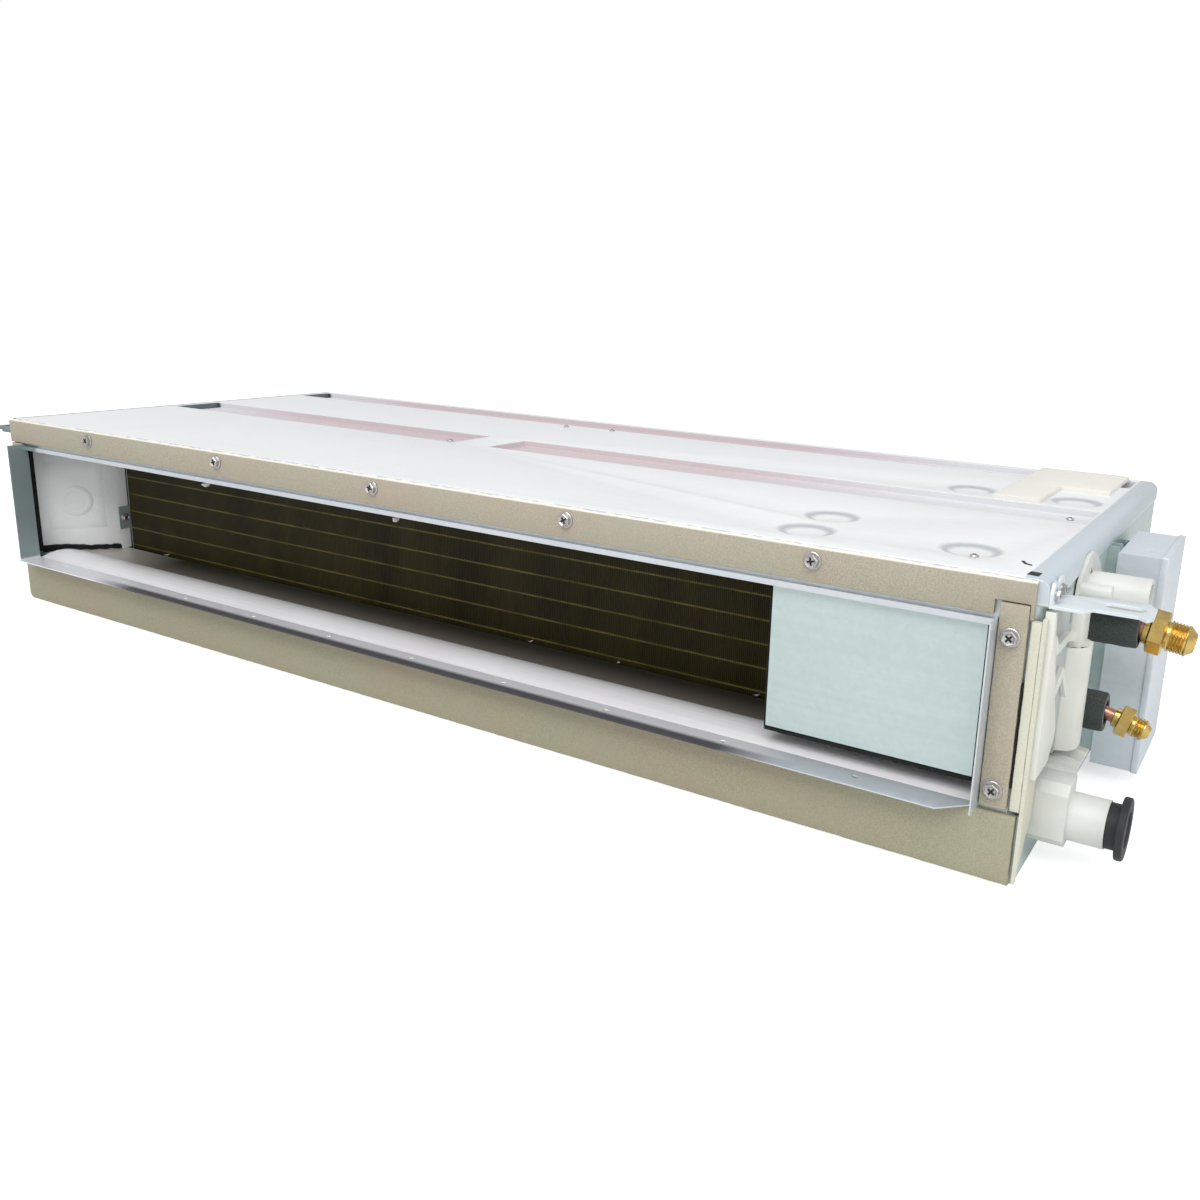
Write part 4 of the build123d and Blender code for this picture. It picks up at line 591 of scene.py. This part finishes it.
# Painted shadow of the dark slit along the pipe cover's edge at the side wall
COVER_BANDS = (((0.46, 0.5, 0.49), ((0, 0.548, 0.5523, 0.0006), (1, -0.2, -0.1, 0.001))),)
# Painted shade on the outer part of the left hangers, the side away from the light
HANGER_BANDS = (((0.16, 0.2, 0.21), ((0, -0.62, -0.551, 0.001),)),)
# A painted highlight along the foam band's cut top edge
BAND_EDGE_HIGHLIGHT = (((0.84, 0.81, 0.74), ((2, 0.1982, 0.21, 0.0004),)),)

MATERIALS = {
    "galvanised": zinc("galvanised", (0.575, 0.68, 0.665), (0.42, 0.515, 0.515), 0.3, 0.5),
    "tan_foam": foam(
        "tan_foam", (0.42, 0.395, 0.305), (0.32, 0.3, 0.22), (0.53, 0.49, 0.39), (0.46, 0.375, 0.295)
    ),
    "green_foam": foam("green_foam", (0.66, 0.65, 0.54), (0.57, 0.56, 0.45), (0.74, 0.73, 0.62)),
    "white_foam": bead_foam("white_foam", (0.9, 0.915, 0.91), (0.79, 0.8, 0.8)),
    "fin": finned("fin", (0.056, 0.047, 0.014), (0.012, 0.01, 0.004), (0.27, 0.23, 0.07)),
    "copper": moulded("copper", (0.62, 0.33, 0.24), 0.25, 1.0, 0.7),
    "brass": moulded("brass", (0.74, 0.52, 0.17), 0.2, 1.0, 0.7, 120.0),
    "dark_sleeve": foam("dark_sleeve", (0.045, 0.06, 0.056), (0.028, 0.035, 0.034), (0.085, 0.1, 0.095)),
    "white_plastic": moulded("white_plastic", (0.67, 0.685, 0.65), 0.38, shade=0.92),
    "black_rubber": moulded("black_rubber", (0.02, 0.021, 0.024), 0.55, shade=0.7),
    "steel": moulded("steel", (0.58, 0.56, 0.55), 0.28, 0.9, 0.75, 200.0),
    "grey_paint": moulded("grey_paint", (0.12, 0.125, 0.13), 0.45),
    "black_plastic": moulded("black_plastic", (0.025, 0.025, 0.028), 0.5),
    "board": moulded("board", (0.02, 0.12, 0.05), 0.4, scale=150.0),
}
TOP_SHEET = zinc("top_sheet", (0.89, 0.905, 0.91), (0.79, 0.83, 0.85), 0.28, 0.2, TOP_BANDS)
BOX_SHEET = zinc("box_sheet", (0.72, 0.78, 0.83), (0.56, 0.63, 0.69), 0.32, 0.3)
COLLAR_SHEET = zinc("collar_sheet", (0.66, 0.7, 0.74), (0.46, 0.51, 0.55), 0.28, 0.35, COLLAR_BANDS)
# Made near white: a painted highlight along the rolled sill
SILL_SHEET_HIGHLIGHT = brushed("sill_sheet_highlight", (0.96, 0.95, 0.97), (0.8, 0.78, 0.8), 0.3, 0.12)
PAN_SKIN = brushed("pan_skin", (0.05, 0.045, 0.038), (0.03, 0.026, 0.022), 0.35, 0.1, PAN_BANDS)
BAND_FOAM = foam(
    "band_foam",
    (0.405, 0.385, 0.3),
    (0.31, 0.29, 0.215),
    (0.51, 0.475, 0.385),
    (0.44, 0.36, 0.285),
    BAND_EDGE_HIGHLIGHT,
)
# The tan foam made darker: painted shade on the lower panel under the outlet collar
LOWER_FOAM_SHADED = foam(
    "lower_foam", (0.375, 0.362, 0.258), (0.29, 0.28, 0.19), (0.465, 0.445, 0.33), (0.41, 0.335, 0.245)
)
FILTER_NET = woven("filter_net", (0.05, 0.05, 0.055), (0.008, 0.008, 0.009), NET_PITCH)
# Near black: painted shadow in screw recesses and corner cuts
RECESS_SHADOW = moulded("recess", (0.01, 0.01, 0.01), 0.6)
# Near black: painted shadow for the strips that fill dark gaps
SHADOW_GAP = moulded("shadow_gap", (0.008, 0.008, 0.008), 0.85, shade=0.6)
CUT_FOAM = foam("cut_foam", (0.16, 0.17, 0.17), (0.1, 0.11, 0.11), (0.24, 0.25, 0.25))
SCRAP = moulded("scrap", (0.6, 0.58, 0.5), 0.6)
PALE_PAD = foam("pale_pad", (0.78, 0.77, 0.72), (0.68, 0.67, 0.61), (0.84, 0.83, 0.78))
COVER_PLASTIC = moulded("cover_plastic", (0.75, 0.76, 0.7), 0.4, shade=0.94, bands=COVER_BANDS)
HANGER_SHEET = zinc("hanger_sheet", (0.76, 0.82, 0.85), (0.6, 0.67, 0.71), 0.3, 0.3, HANGER_BANDS)

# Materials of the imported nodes
OWN_FINISH = {
    "outlet_collar": COLLAR_SHEET,
    "outlet_sill": SILL_SHEET_HIGHLIGHT,
    "control_box": BOX_SHEET,
    "control_box_cover": BOX_SHEET,
    "drain_pan": PAN_SKIN,
    "air_filter": FILTER_NET,
}
for part in frame["record"]["subparts"]:
    node = frame["nodes"][part["node"]]
    node.data.materials.clear()
    node.data.materials.append(OWN_FINISH.get(part["node"], MATERIALS[part["material_slot"]]))


# Sheet metal with bent edges


def sheet_metal():
    """The top panel and small brackets with their bends and stamped edges softened."""
    softened("top_sheet_panel", "top_panel", TOP_SHEET, 0.0007, 50.0)
    for side in ("left", "right"):
        for end in ("front", "rear"):
            name = f"{end}_hanger_{side}"
            softened(f"{name}_plate", name, HANGER_SHEET, 0.0004)
    softened("control_box_lid", "control_box_cover", BOX_SHEET, 0.0008)


# Screws


def washer_head(radius):
    """A hexagon head on its washer, standing on z = 0."""
    profile = [(0.0, 0.0), (radius, 0.0), (radius, radius * 0.16), (radius * 0.9, radius * 0.24)]
    washer = turned(profile + [(0.0, radius * 0.24)], 28)
    foot = ring(6, radius * 0.84, radius * 0.2)
    shoulder = ring(6, radius * 0.84, radius * 0.62)
    crown = ring(6, radius * 0.7, radius * 0.74)
    dish = ring(6, radius * 0.5, radius * 0.62)
    return joined([washer, lofted([foot, shoulder, crown, dish])])


def pan_head(radius):
    """A low domed head."""
    profile = [(0.0, 0.0), (radius, 0.0), (radius, radius * 0.25), (radius * 0.8, radius * 0.5)]
    return turned(profile + [(radius * 0.4, radius * 0.62), (0.0, radius * 0.66)], 24)


def cross_recess(radius, height):
    """The painted shadow of a cross recess: a thin dark star that lies just above the head's dish."""
    points = []
    for i in range(4):
        for reach, swing in ((0.42, -0.24), (0.42, 0.24), (0.14, math.pi / 4)):
            angle = math.pi / 2 * i + swing
            points.append((radius * reach * math.cos(angle), radius * reach * math.sin(angle)))
    low = [(x, y, height) for x, y in points]
    high = [(x, y, height + radius * 0.03) for x, y in points]
    return lofted([low, high])


def screws(name, head, radius, places):
    """Heads at (place, direction) pairs, each turned its own way, with their recesses."""
    height = RECESS_HEIGHTS[head]
    heads, recesses = [], []
    for place, direction in places:
        stand = facing(direction, place, random.uniform(0, math.pi))
        heads.append(moved(head(radius), stand))
        recesses.append(moved(cross_recess(radius, radius * height), stand))
    add_mesh(name, joined(heads), MATERIALS["steel"], crease=30)
    add_mesh(name + "_recess", joined(recesses), RECESS_SHADOW)


# Where a recess starts on each head, as a share of the head's radius
RECESS_HEIGHTS = {washer_head: 0.65, pan_head: 0.64}


def all_screws():
    front, out, up = (0, -1, 0), (1, 0, 0), (0, 0, 1)
    band = [(at(-0.4 + 0.2 * i, -0.004, 0.19), front) for i in range(5)]
    strip = [(at(side * 0.5315, -0.005, height), front) for side in (-1, 1) for height in (0.063, 0.163)]
    screws("foam_screws", washer_head, 0.0062, band + strip)
    lug = HALF_WIDTH + 0.002
    lugs = [(at(side * lug, depth, 0.19), (side, 0, 0)) for side in (-1, 1) for depth in (0.0095, 0.0255)]
    lid = [(at(BOX_FACE - 0.003, BOX_REAR, height), (0, 1, 0)) for height in (0.03, 0.16)]
    pump = [(at(HALF_WIDTH + 0.0015, 0.1167, 0.1826), out)]
    screws("bracket_screws", washer_head, 0.004, lugs)
    screws("small_screws", pan_head, 0.003, lid + pump)
    screws("coil_plate_screw", washer_head, 0.0045, [(at(-0.498, 0.09, 0.082), out)])
    marks = ((0.52, 0.2), (0.495, 0.033), (-0.074, 0.37), (-0.016, 0.378), (-0.092, 0.194))
    screws("top_panel_screws", pan_head, 0.003, [(at(x, depth, CASING_TOP), up) for x, depth in marks])


# Foam


def foam_pieces():
    """Cut foam on the front."""
    front = front_plane(0.0)
    low, high = BAND_BOTTOM, CASING_TOP
    inner, outer, step = 0.5197, 0.5413, 0.0001
    band = [(-FOAM_HALF, low, high), (-inner, low, high), (inner - step, low, high)]
    band += [(inner, BAND_NOTCH, high), (outer, BAND_NOTCH, high)]
    band += [(outer + step, low, high), (FOAM_HALF, low, high)]
    cut = foam_strip(band, 0.004, front, 0.0013)
    add_mesh("foam_band", cut, BAND_FOAM, replaces=("top_foam_band",), crease=60)
    corner = [(-0.542, 0.006), (-0.5402, 0.0018), (-0.536, 0.0)]
    lower = corner + [(0.547, 0.0), (0.547, LOWER_FOAM_TOP), (-0.542, LOWER_FOAM_TOP)]
    cut = foam_sheet(lower, 0.004, front, 0.0004)
    add_mesh("lower_foam", cut, LOWER_FOAM_SHADED, replaces=("lower_foam_panel",), crease=60)
    left = rectangle(-STRIP_EDGE, -STRIP_INNER, STRIP_BOTTOM, STRIP_TOP)
    right = rectangle(STRIP_INNER, STRIP_EDGE, STRIP_BOTTOM, 0.184)
    strips = joined([foam_sheet(outline, 0.005, front, 0.0003) for outline in (left, right)])
    add_mesh("corner_strips", strips, MATERIALS["tan_foam"], replaces=("corner_foam_strips",), crease=60)
    # Black strips in the slit beside the right corner strip and along the blanking plate's left and bottom
    # edges: painted shadow in those gaps
    slit = foam_sheet(rectangle(0.5411, 0.5424, 0.066, 0.135), 0.0042, front, 0.0002)
    plate_face = front_plane(0.012)
    plate_left = foam_sheet(rectangle(0.3677, 0.3698, 0.062, 0.1855), 0.009, plate_face, 0.0004)
    plate_foot = foam_sheet(rectangle(0.3677, 0.5155, 0.0605, 0.0648), 0.009, plate_face, 0.0006)
    add_mesh("shadow_gap_strips", joined([slit, plate_left, plate_foot]), SHADOW_GAP, crease=60)


def side_strip():
    """The paler strip that wraps round the front corner of the pipe side."""
    side = side_plane(HALF_WIDTH - 0.001)
    outline = [(-0.004, 0.002), (0.013, 0.03), (0.0237, 0.036), (0.0237, 0.072)]
    outline += [(0.0007, 0.072), (0.0007, 0.177), (-0.004, 0.177)]
    wrap = foam_sheet(outline, 0.0025, side, 0.0003)
    face = foam_sheet(rectangle(0.5425, 0.5489, STRIP_BOTTOM, STRIP_TOP), 0.005, front_plane(0.001), 0.0002)
    strip = joined([wrap, face])
    add_mesh("side_strip", strip, MATERIALS["green_foam"], replaces=("right_side_foam",), crease=60)


def top_pad():
    """The L-shaped pad at the rear of the pipe side."""
    outline = [(0.447, 0.252), (0.486, 0.252), (0.486, 0.331), (0.526, 0.331), (0.526, 0.43), (0.447, 0.43)]
    pad = foam_sheet(outline, 0.004, top_plane(), 0.0005)
    add_mesh("top_pad", pad, PALE_PAD, replaces=("top_foam_pad",), crease=60)


def shifted_in(outline, way):
    """An outline round the raised square, with each corner moved towards the square's middle."""
    middle_x, middle_y = 0.039, 0.064
    points = []
    for x, y in outline:
        across = way * math.copysign(1.0, middle_x - x)
        along = way * math.copysign(1.0, middle_y - y)
        points.append((x + across, y + along))
    return points


def air_guide():
    """The bead foam block beside the coil, with a raised square and ring on its slanting face."""
    outline = [(GUIDE_WALL, 0.018), (GUIDE_COIL, 0.084), (GUIDE_COIL, 0.096), (GUIDE_WALL, 0.096)]
    stand = Matrix.Translation((0, -HALF_DEPTH, GUIDE_FOOT))
    block = foam_sheet(outline, 0.122, stand, 0.0002, 0.002, 0.02)
    start = at(GUIDE_WALL, 0.018, GUIDE_FOOT)
    end = at(GUIDE_COIL, 0.084, GUIDE_FOOT)
    along = (end - start).normalized()
    up = Vector((0, 0, 1))
    away = along.cross(up)
    face = Matrix((along, up, away)).transposed().to_4x4()
    face.translation = start
    length = 0.0815
    # Thin black strips along the foot and head of the slanting face and at the wall corner: painted shadow in
    # the gaps round the block
    foot = [(0.0, 0.0), (length, 0.0), (length, 0.0062), (0.05, 0.0068), (0.034, 0.0088)]
    foot += [(0.02, 0.0095), (0.0, 0.009)]
    head = [(0.0, 0.1185), (0.03, 0.117), (0.055, 0.119), (length, 0.118), (length, 0.122), (0.0, 0.122)]
    shadow_gaps = [foam_sheet(outline, 0.0012, face, 0.0012, 0.0003, 0.004) for outline in (foot, head)]
    corner = foam_sheet(rectangle(GUIDE_WALL, -0.5446, 0.0125, 0.0185), 0.118, stand, 0.0003)
    shadow_gaps.append(moved(corner, Matrix.Translation((0, 0, 0.003))))
    add_mesh("guide_shadow_gaps", joined(shadow_gaps), SHADOW_GAP, crease=60)
    raised = 0.0012
    rim = rectangle(0.012, 0.066, 0.028, 0.1)
    inner_rim = rectangle(0.018, 0.06, 0.036, 0.092)
    levels = [(shifted_in(rim, -0.004), -0.001), (rim, raised)]
    levels += [(inner_rim, raised), (shifted_in(inner_rim, 0.004), 0.0003)]
    square = lofted([[(x, y, height) for x, y in outline] for outline, height in levels], False, True)
    eye = turned([(0.0175, 0.0), (0.0155, raised), (0.0125, raised), (0.0105, 0.0004), (0.0175, 0.0)], 40)
    eye = moved(eye, Matrix.Translation((0.039, 0.058, 0.0004)))
    shapes = [block] + [moved(shape, face) for shape in (square, eye)]
    add_mesh("air_guide", joined(shapes), MATERIALS["white_foam"], replaces=("left_foam_guide",), crease=40)


def pipe_sleeve(name, node, height, radius, bore, end):
    """A foam tube pushed on a pipe, with a rough cut end."""
    start = HALF_WIDTH + 0.0016
    length = end - start
    wide = bore + 0.003
    straight = 0.004
    profile = [(bore, 0.0), (radius, 0.0), (radius, straight)]
    steps = 6
    for i in range(1, steps):
        profile.append((radius - random.uniform(0.0, 0.0004), straight + (length - 2 * straight) * i / steps))
    profile += [(radius - 0.0004, length - 0.001), (radius - 0.0012, length), (wide + 0.0004, length)]
    profile += [(wide, length - 0.0006), (wide - 0.001, length - 0.01), (bore, length - 0.011), (bore, 0.0)]
    stand = facing((1, 0, 0), at(start, PIPE_DEPTH, height))
    add_mesh(name, moved(turned(profile, 48), stand), MATERIALS["dark_sleeve"], replaces=(node,), crease=50)
    cut = [(wide + 0.0004, length), (radius - 0.0014, length), (radius - 0.0016, length + 0.0002)]
    cut += [(wide + 0.0006, length + 0.0002), (wide + 0.0004, length)]
    add_mesh(name + "_cut", moved(turned(cut, 48), stand), CUT_FOAM)


# Pipes and unions


def thread(radius, depth, length, pitch, count=40):
    """A screw thread about Z, cut as one helix that runs out at both ends."""
    levels = max(2, round(length / pitch * 6))
    rings = []
    for level in range(levels + 1):
        height = length * level / levels
        fade = min(1.0, height / pitch, (length - height) / pitch)
        points = []
        for i in range(count):
            turn = i / count
            phase = (height / pitch + turn) % 1.0
            cut = abs(phase * 2 - 1) * depth * fade
            angle = 2 * math.pi * turn
            points.append(((radius - cut) * math.cos(angle), (radius - cut) * math.sin(angle), height))
        rings.append(points)
    return lofted(rings, False, False)


def hexagon(flats, length):
    """A hexagon about Z whose corners are turned off at both ends."""
    corner = flats / math.sqrt(3)
    cut = corner - flats / 2
    return lofted(
        [
            ring(6, corner - cut, 0.0),
            ring(6, corner, cut * 0.5),
            ring(6, corner, length - cut * 0.5),
            ring(6, corner - cut, length),
        ]
    )


def flare_union(
    name, node, knee, reach, height, tilt, flats, hex_length, thread_radius, thread_length, pipe_radius
):
    """A brass union half: collar, hexagon, groove, thread and flare seat, as it sits on its pipe."""
    run = reach - knee
    lean = math.radians(tilt)
    direction = Vector((math.cos(lean), 0, -math.sin(lean)))
    place = at(HALF_WIDTH + knee, PIPE_DEPTH, height) + direction * run
    nose = thread_radius - pipe_radius * 0.8
    groove = 0.0016
    bore = pipe_radius * 0.6
    tip = hex_length + thread_length
    body = thread_length - nose - groove
    collar = [(pipe_radius, -0.004), (pipe_radius + 0.0022, -0.0034), (pipe_radius + 0.0026, 0.0), (0.0, 0.0)]
    root = thread_radius * 0.86
    neck = [(root, hex_length - 0.0004), (root, hex_length + groove)]
    cut = moved(thread(thread_radius, 0.0013, body, 0.0021), Matrix.Translation((0, 0, hex_length + groove)))
    seat = [
        (thread_radius - 0.0002, tip - nose - 0.0002),
        (thread_radius - 0.0006, tip - nose),
        (thread_radius - nose, tip),
        (bore, tip),
        (bore, hex_length),
        (0.0, hex_length),
    ]
    shapes = [turned(collar, 40), hexagon(flats, hex_length), turned(neck, 40), cut, turned(seat, 40)]
    stand = facing(direction, place, math.radians(12))
    add_mesh(name, moved(joined(shapes), stand), MATERIALS["brass"], replaces=(node,), crease=28)


def pipes():
    """Sleeves and flare unions of the gas and the liquid pipe."""
    gas_end, liquid_end = HALF_WIDTH + 0.036, HALF_WIDTH + 0.0215
    pipe_sleeve("gas_pipe_sleeve", "gas_sleeve", GAS_HEIGHT, 0.016, 0.0087, gas_end)
    pipe_sleeve("liquid_pipe_sleeve", "liquid_sleeve", LIQUID_HEIGHT, 0.0145, 0.0056, liquid_end)
    flare_union(
        "gas_union",
        "gas_fitting",
        knee=0.033,
        reach=0.042,
        height=GAS_HEIGHT,
        tilt=8.0,
        flats=0.027,
        hex_length=0.011,
        thread_radius=0.0111,
        thread_length=0.019,
        pipe_radius=0.00794,
    )
    flare_union(
        "liquid_union",
        "liquid_fitting",
        knee=0.021,
        reach=0.031,
        height=LIQUID_HEIGHT,
        tilt=16.0,
        flats=0.019,
        hex_length=0.009,
        thread_radius=0.0079,
        thread_length=0.013,
        pipe_radius=0.00476,
    )


def drain_and_pump():
    """The moulded drain socket, its rubber plug and the pump's outlet pipe."""
    white = MATERIALS["white_plastic"]
    softened("pipe_side_cover", "pipe_cover", COVER_PLASTIC, 0.0009)
    softened("drip_flap", "drip_shelf", white, 0.0005)
    softened("drain_branch", "drain_socket", white, 0.0006)
    softened("pump_branch", "pump_outlet_pipe", white, 0.0005)
    end = HALF_WIDTH + 0.045
    profile = [(0.0, -0.016), (0.0112, -0.016), (0.0119, -0.014), (0.0119, 0.0), (0.015, 0.0)]
    profile += [(0.015, 0.0068), (0.0198, 0.0071), (0.0205, 0.0078), (0.0205, 0.0112), (0.0198, 0.012)]
    profile += [(0.012, 0.012), (0.0112, 0.0105), (0.004, 0.0105), (0.0, 0.0105)]
    plug = moved(turned(profile, 56), facing((1, 0, 0), at(end, DRAIN_DEPTH, DRAIN_HEIGHT)))
    add_mesh("drain_stopper", plug, MATERIALS["black_rubber"], "plug", ("drain_plug",), 35)


# Small marks of making and packing


def relief_cuts():
    """Black sheets in the corner cuts where the top's right rim is folded: painted shadow in the cuts."""
    bent = [(0.5225, 0.041), (0.5262, 0.0345), (0.5312, 0.0322)]
    bent += [(0.5312, 0.0345), (0.5275, 0.0365), (0.5242, 0.0425)]
    square = [(0.5338, 0.0085), (0.5412, 0.0075), (0.5412, 0.0165), (0.5345, 0.0175)]
    cuts = [foam_sheet(outline, 0.0003, top_plane(), 0.0001, 0.0001, 0.002) for outline in (bent, square)]
    add_mesh("relief_cuts", joined(cuts), RECESS_SHADOW)


def scrap(place, size, lean):
    """A torn flake of film, bent across its middle."""
    corners = 9
    rough = []
    for i in range(corners):
        angle = 2 * math.pi * i / corners
        x = math.cos(angle) * size * random.uniform(0.6, 1.0)
        rough.append((x, math.sin(angle) * size * random.uniform(0.35, 0.6)))
    low = [(x, y, abs(x) * 0.4) for x, y in rough]
    high = [(x * 0.96, y * 0.96, abs(x) * 0.4 + 0.0003) for x, y in rough]
    turn = Matrix.Rotation(random.uniform(0, 6.0), 4, "Z")
    stand = Matrix.Translation(place) @ turn @ Matrix.Rotation(lean, 4, "X")
    return moved(lofted([low, high]), stand)


def scraps():
    """Flakes of torn tape under the lip and along the foot of the coil."""
    under_lip = [scrap(at(x, 0.001, 0.1645), 0.0045, 1.3) for x in (-0.225, 0.0216)]
    flakes = ((0.0908, 0.0032), (0.1864, 0.0026), (0.3184, 0.003), (-0.43, 0.004))
    on_pan = [scrap(at(x, 0.093, 0.0464), size, 0.1) for x, size in flakes]
    add_mesh("tape_scraps", joined(under_lip + on_pan), SCRAP)


sheet_metal()
all_screws()
foam_pieces()
side_strip()
top_pad()
air_guide()
pipes()
drain_and_pump()
relief_cuts()
scraps()


# Stage, light and camera


def plain_background(name, shown, lit):
    """White where the camera sees it, and a softer light on the object."""
    world = bpy.data.worlds.new(name)
    world.use_nodes = True
    tree = world.node_tree
    background = tree.nodes["Background"]
    path = tree.nodes.new("ShaderNodeLightPath")
    shade = mix_colour(tree, path.outputs["Is Camera Ray"], (lit,) * 3, (shown,) * 3)
    link(tree, shade, background.inputs["Color"])
    bpy.context.scene.world = world


def floor(name, height, half, colour, lift):
    """A pale floor. What the camera sees is lifted to white where no shadow falls."""
    material, tree, shader, coordinates = surface(name, colour, 0.9)
    uneven = noise_mask(tree, coordinates, 3.0, 0.3, 0.8)
    dark = tuple(c * 0.995 for c in colour)
    link(tree, mix_colour(tree, uneven, colour, dark), shader.inputs["Base Color"])
    path = tree.nodes.new("ShaderNodeLightPath")
    glow = mix_colour(tree, path.outputs["Is Camera Ray"], (0.0,) * 3, (lift,) * 3)
    link(tree, glow, shader.inputs["Emission Color"])
    shader.inputs["Emission Strength"].default_value = 1.0
    corners = [(-half, -half, height), (half, -half, height), (half, half, height), (-half, half, height)]
    piece = add_mesh(name, (corners, [(0, 1, 2, 3)]), material, body=None)
    return piece


def area_light(name, place, target, size, power):
    """A white rectangular lamp that points at the target."""
    light = bpy.data.lights.new(name, "AREA")
    light.shape = "RECTANGLE"
    light.size, light.size_y = size
    light.energy = power
    piece = bpy.data.objects.new(name, light)
    piece.location = place
    direction = Vector(target) - Vector(place)
    piece.rotation_euler = direction.to_track_quat("-Z", "Y").to_euler()
    bpy.context.scene.collection.objects.link(piece)
    return piece


def photo_camera():
    """The camera that took the photograph, from a fit of the casing's edges."""
    azimuth, elevation, roll = (math.radians(v) for v in (30.73, 14.71, 1.88))
    ahead = Vector(
        (
            -math.sin(azimuth) * math.cos(elevation),
            math.cos(azimuth) * math.cos(elevation),
            -math.sin(elevation),
        )
    )
    level = Vector((math.cos(azimuth), math.sin(azimuth), 0))
    upright = level.cross(ahead)
    right = level * math.cos(roll) + upright * math.sin(roll)
    up = upright * math.cos(roll) - level * math.sin(roll)
    data = bpy.data.cameras.new("photo_camera")
    data.sensor_width = 36.0
    data.lens = 32.87
    data.shift_x = -0.0553
    data.shift_y = -0.0227
    data.clip_start = 0.02
    data.clip_end = 50.0
    camera = bpy.data.objects.new("photo_camera", data)
    turn = Matrix((right, up, -ahead)).transposed().to_4x4()
    camera.matrix_world = Matrix.Translation((0.67444, -0.87307, 0.36175)) @ turn
    bpy.context.scene.collection.objects.link(camera)
    bpy.context.scene.camera = camera


plain_background("studio", 1.0, 0.66)
floor("floor", -0.0005, 12.0, (0.85, 0.85, 0.85), 0.55)
area_light("key", (0.4, -1.6, 2.2), (0, 0, 0.1), (2.4, 1.6), 42)
area_light("fill", (2.4, -0.6, 1.0), (0.4, 0, 0.1), (1.4, 1.4), 8)
photo_camera()
bpy.context.scene.view_settings.view_transform = "Standard"
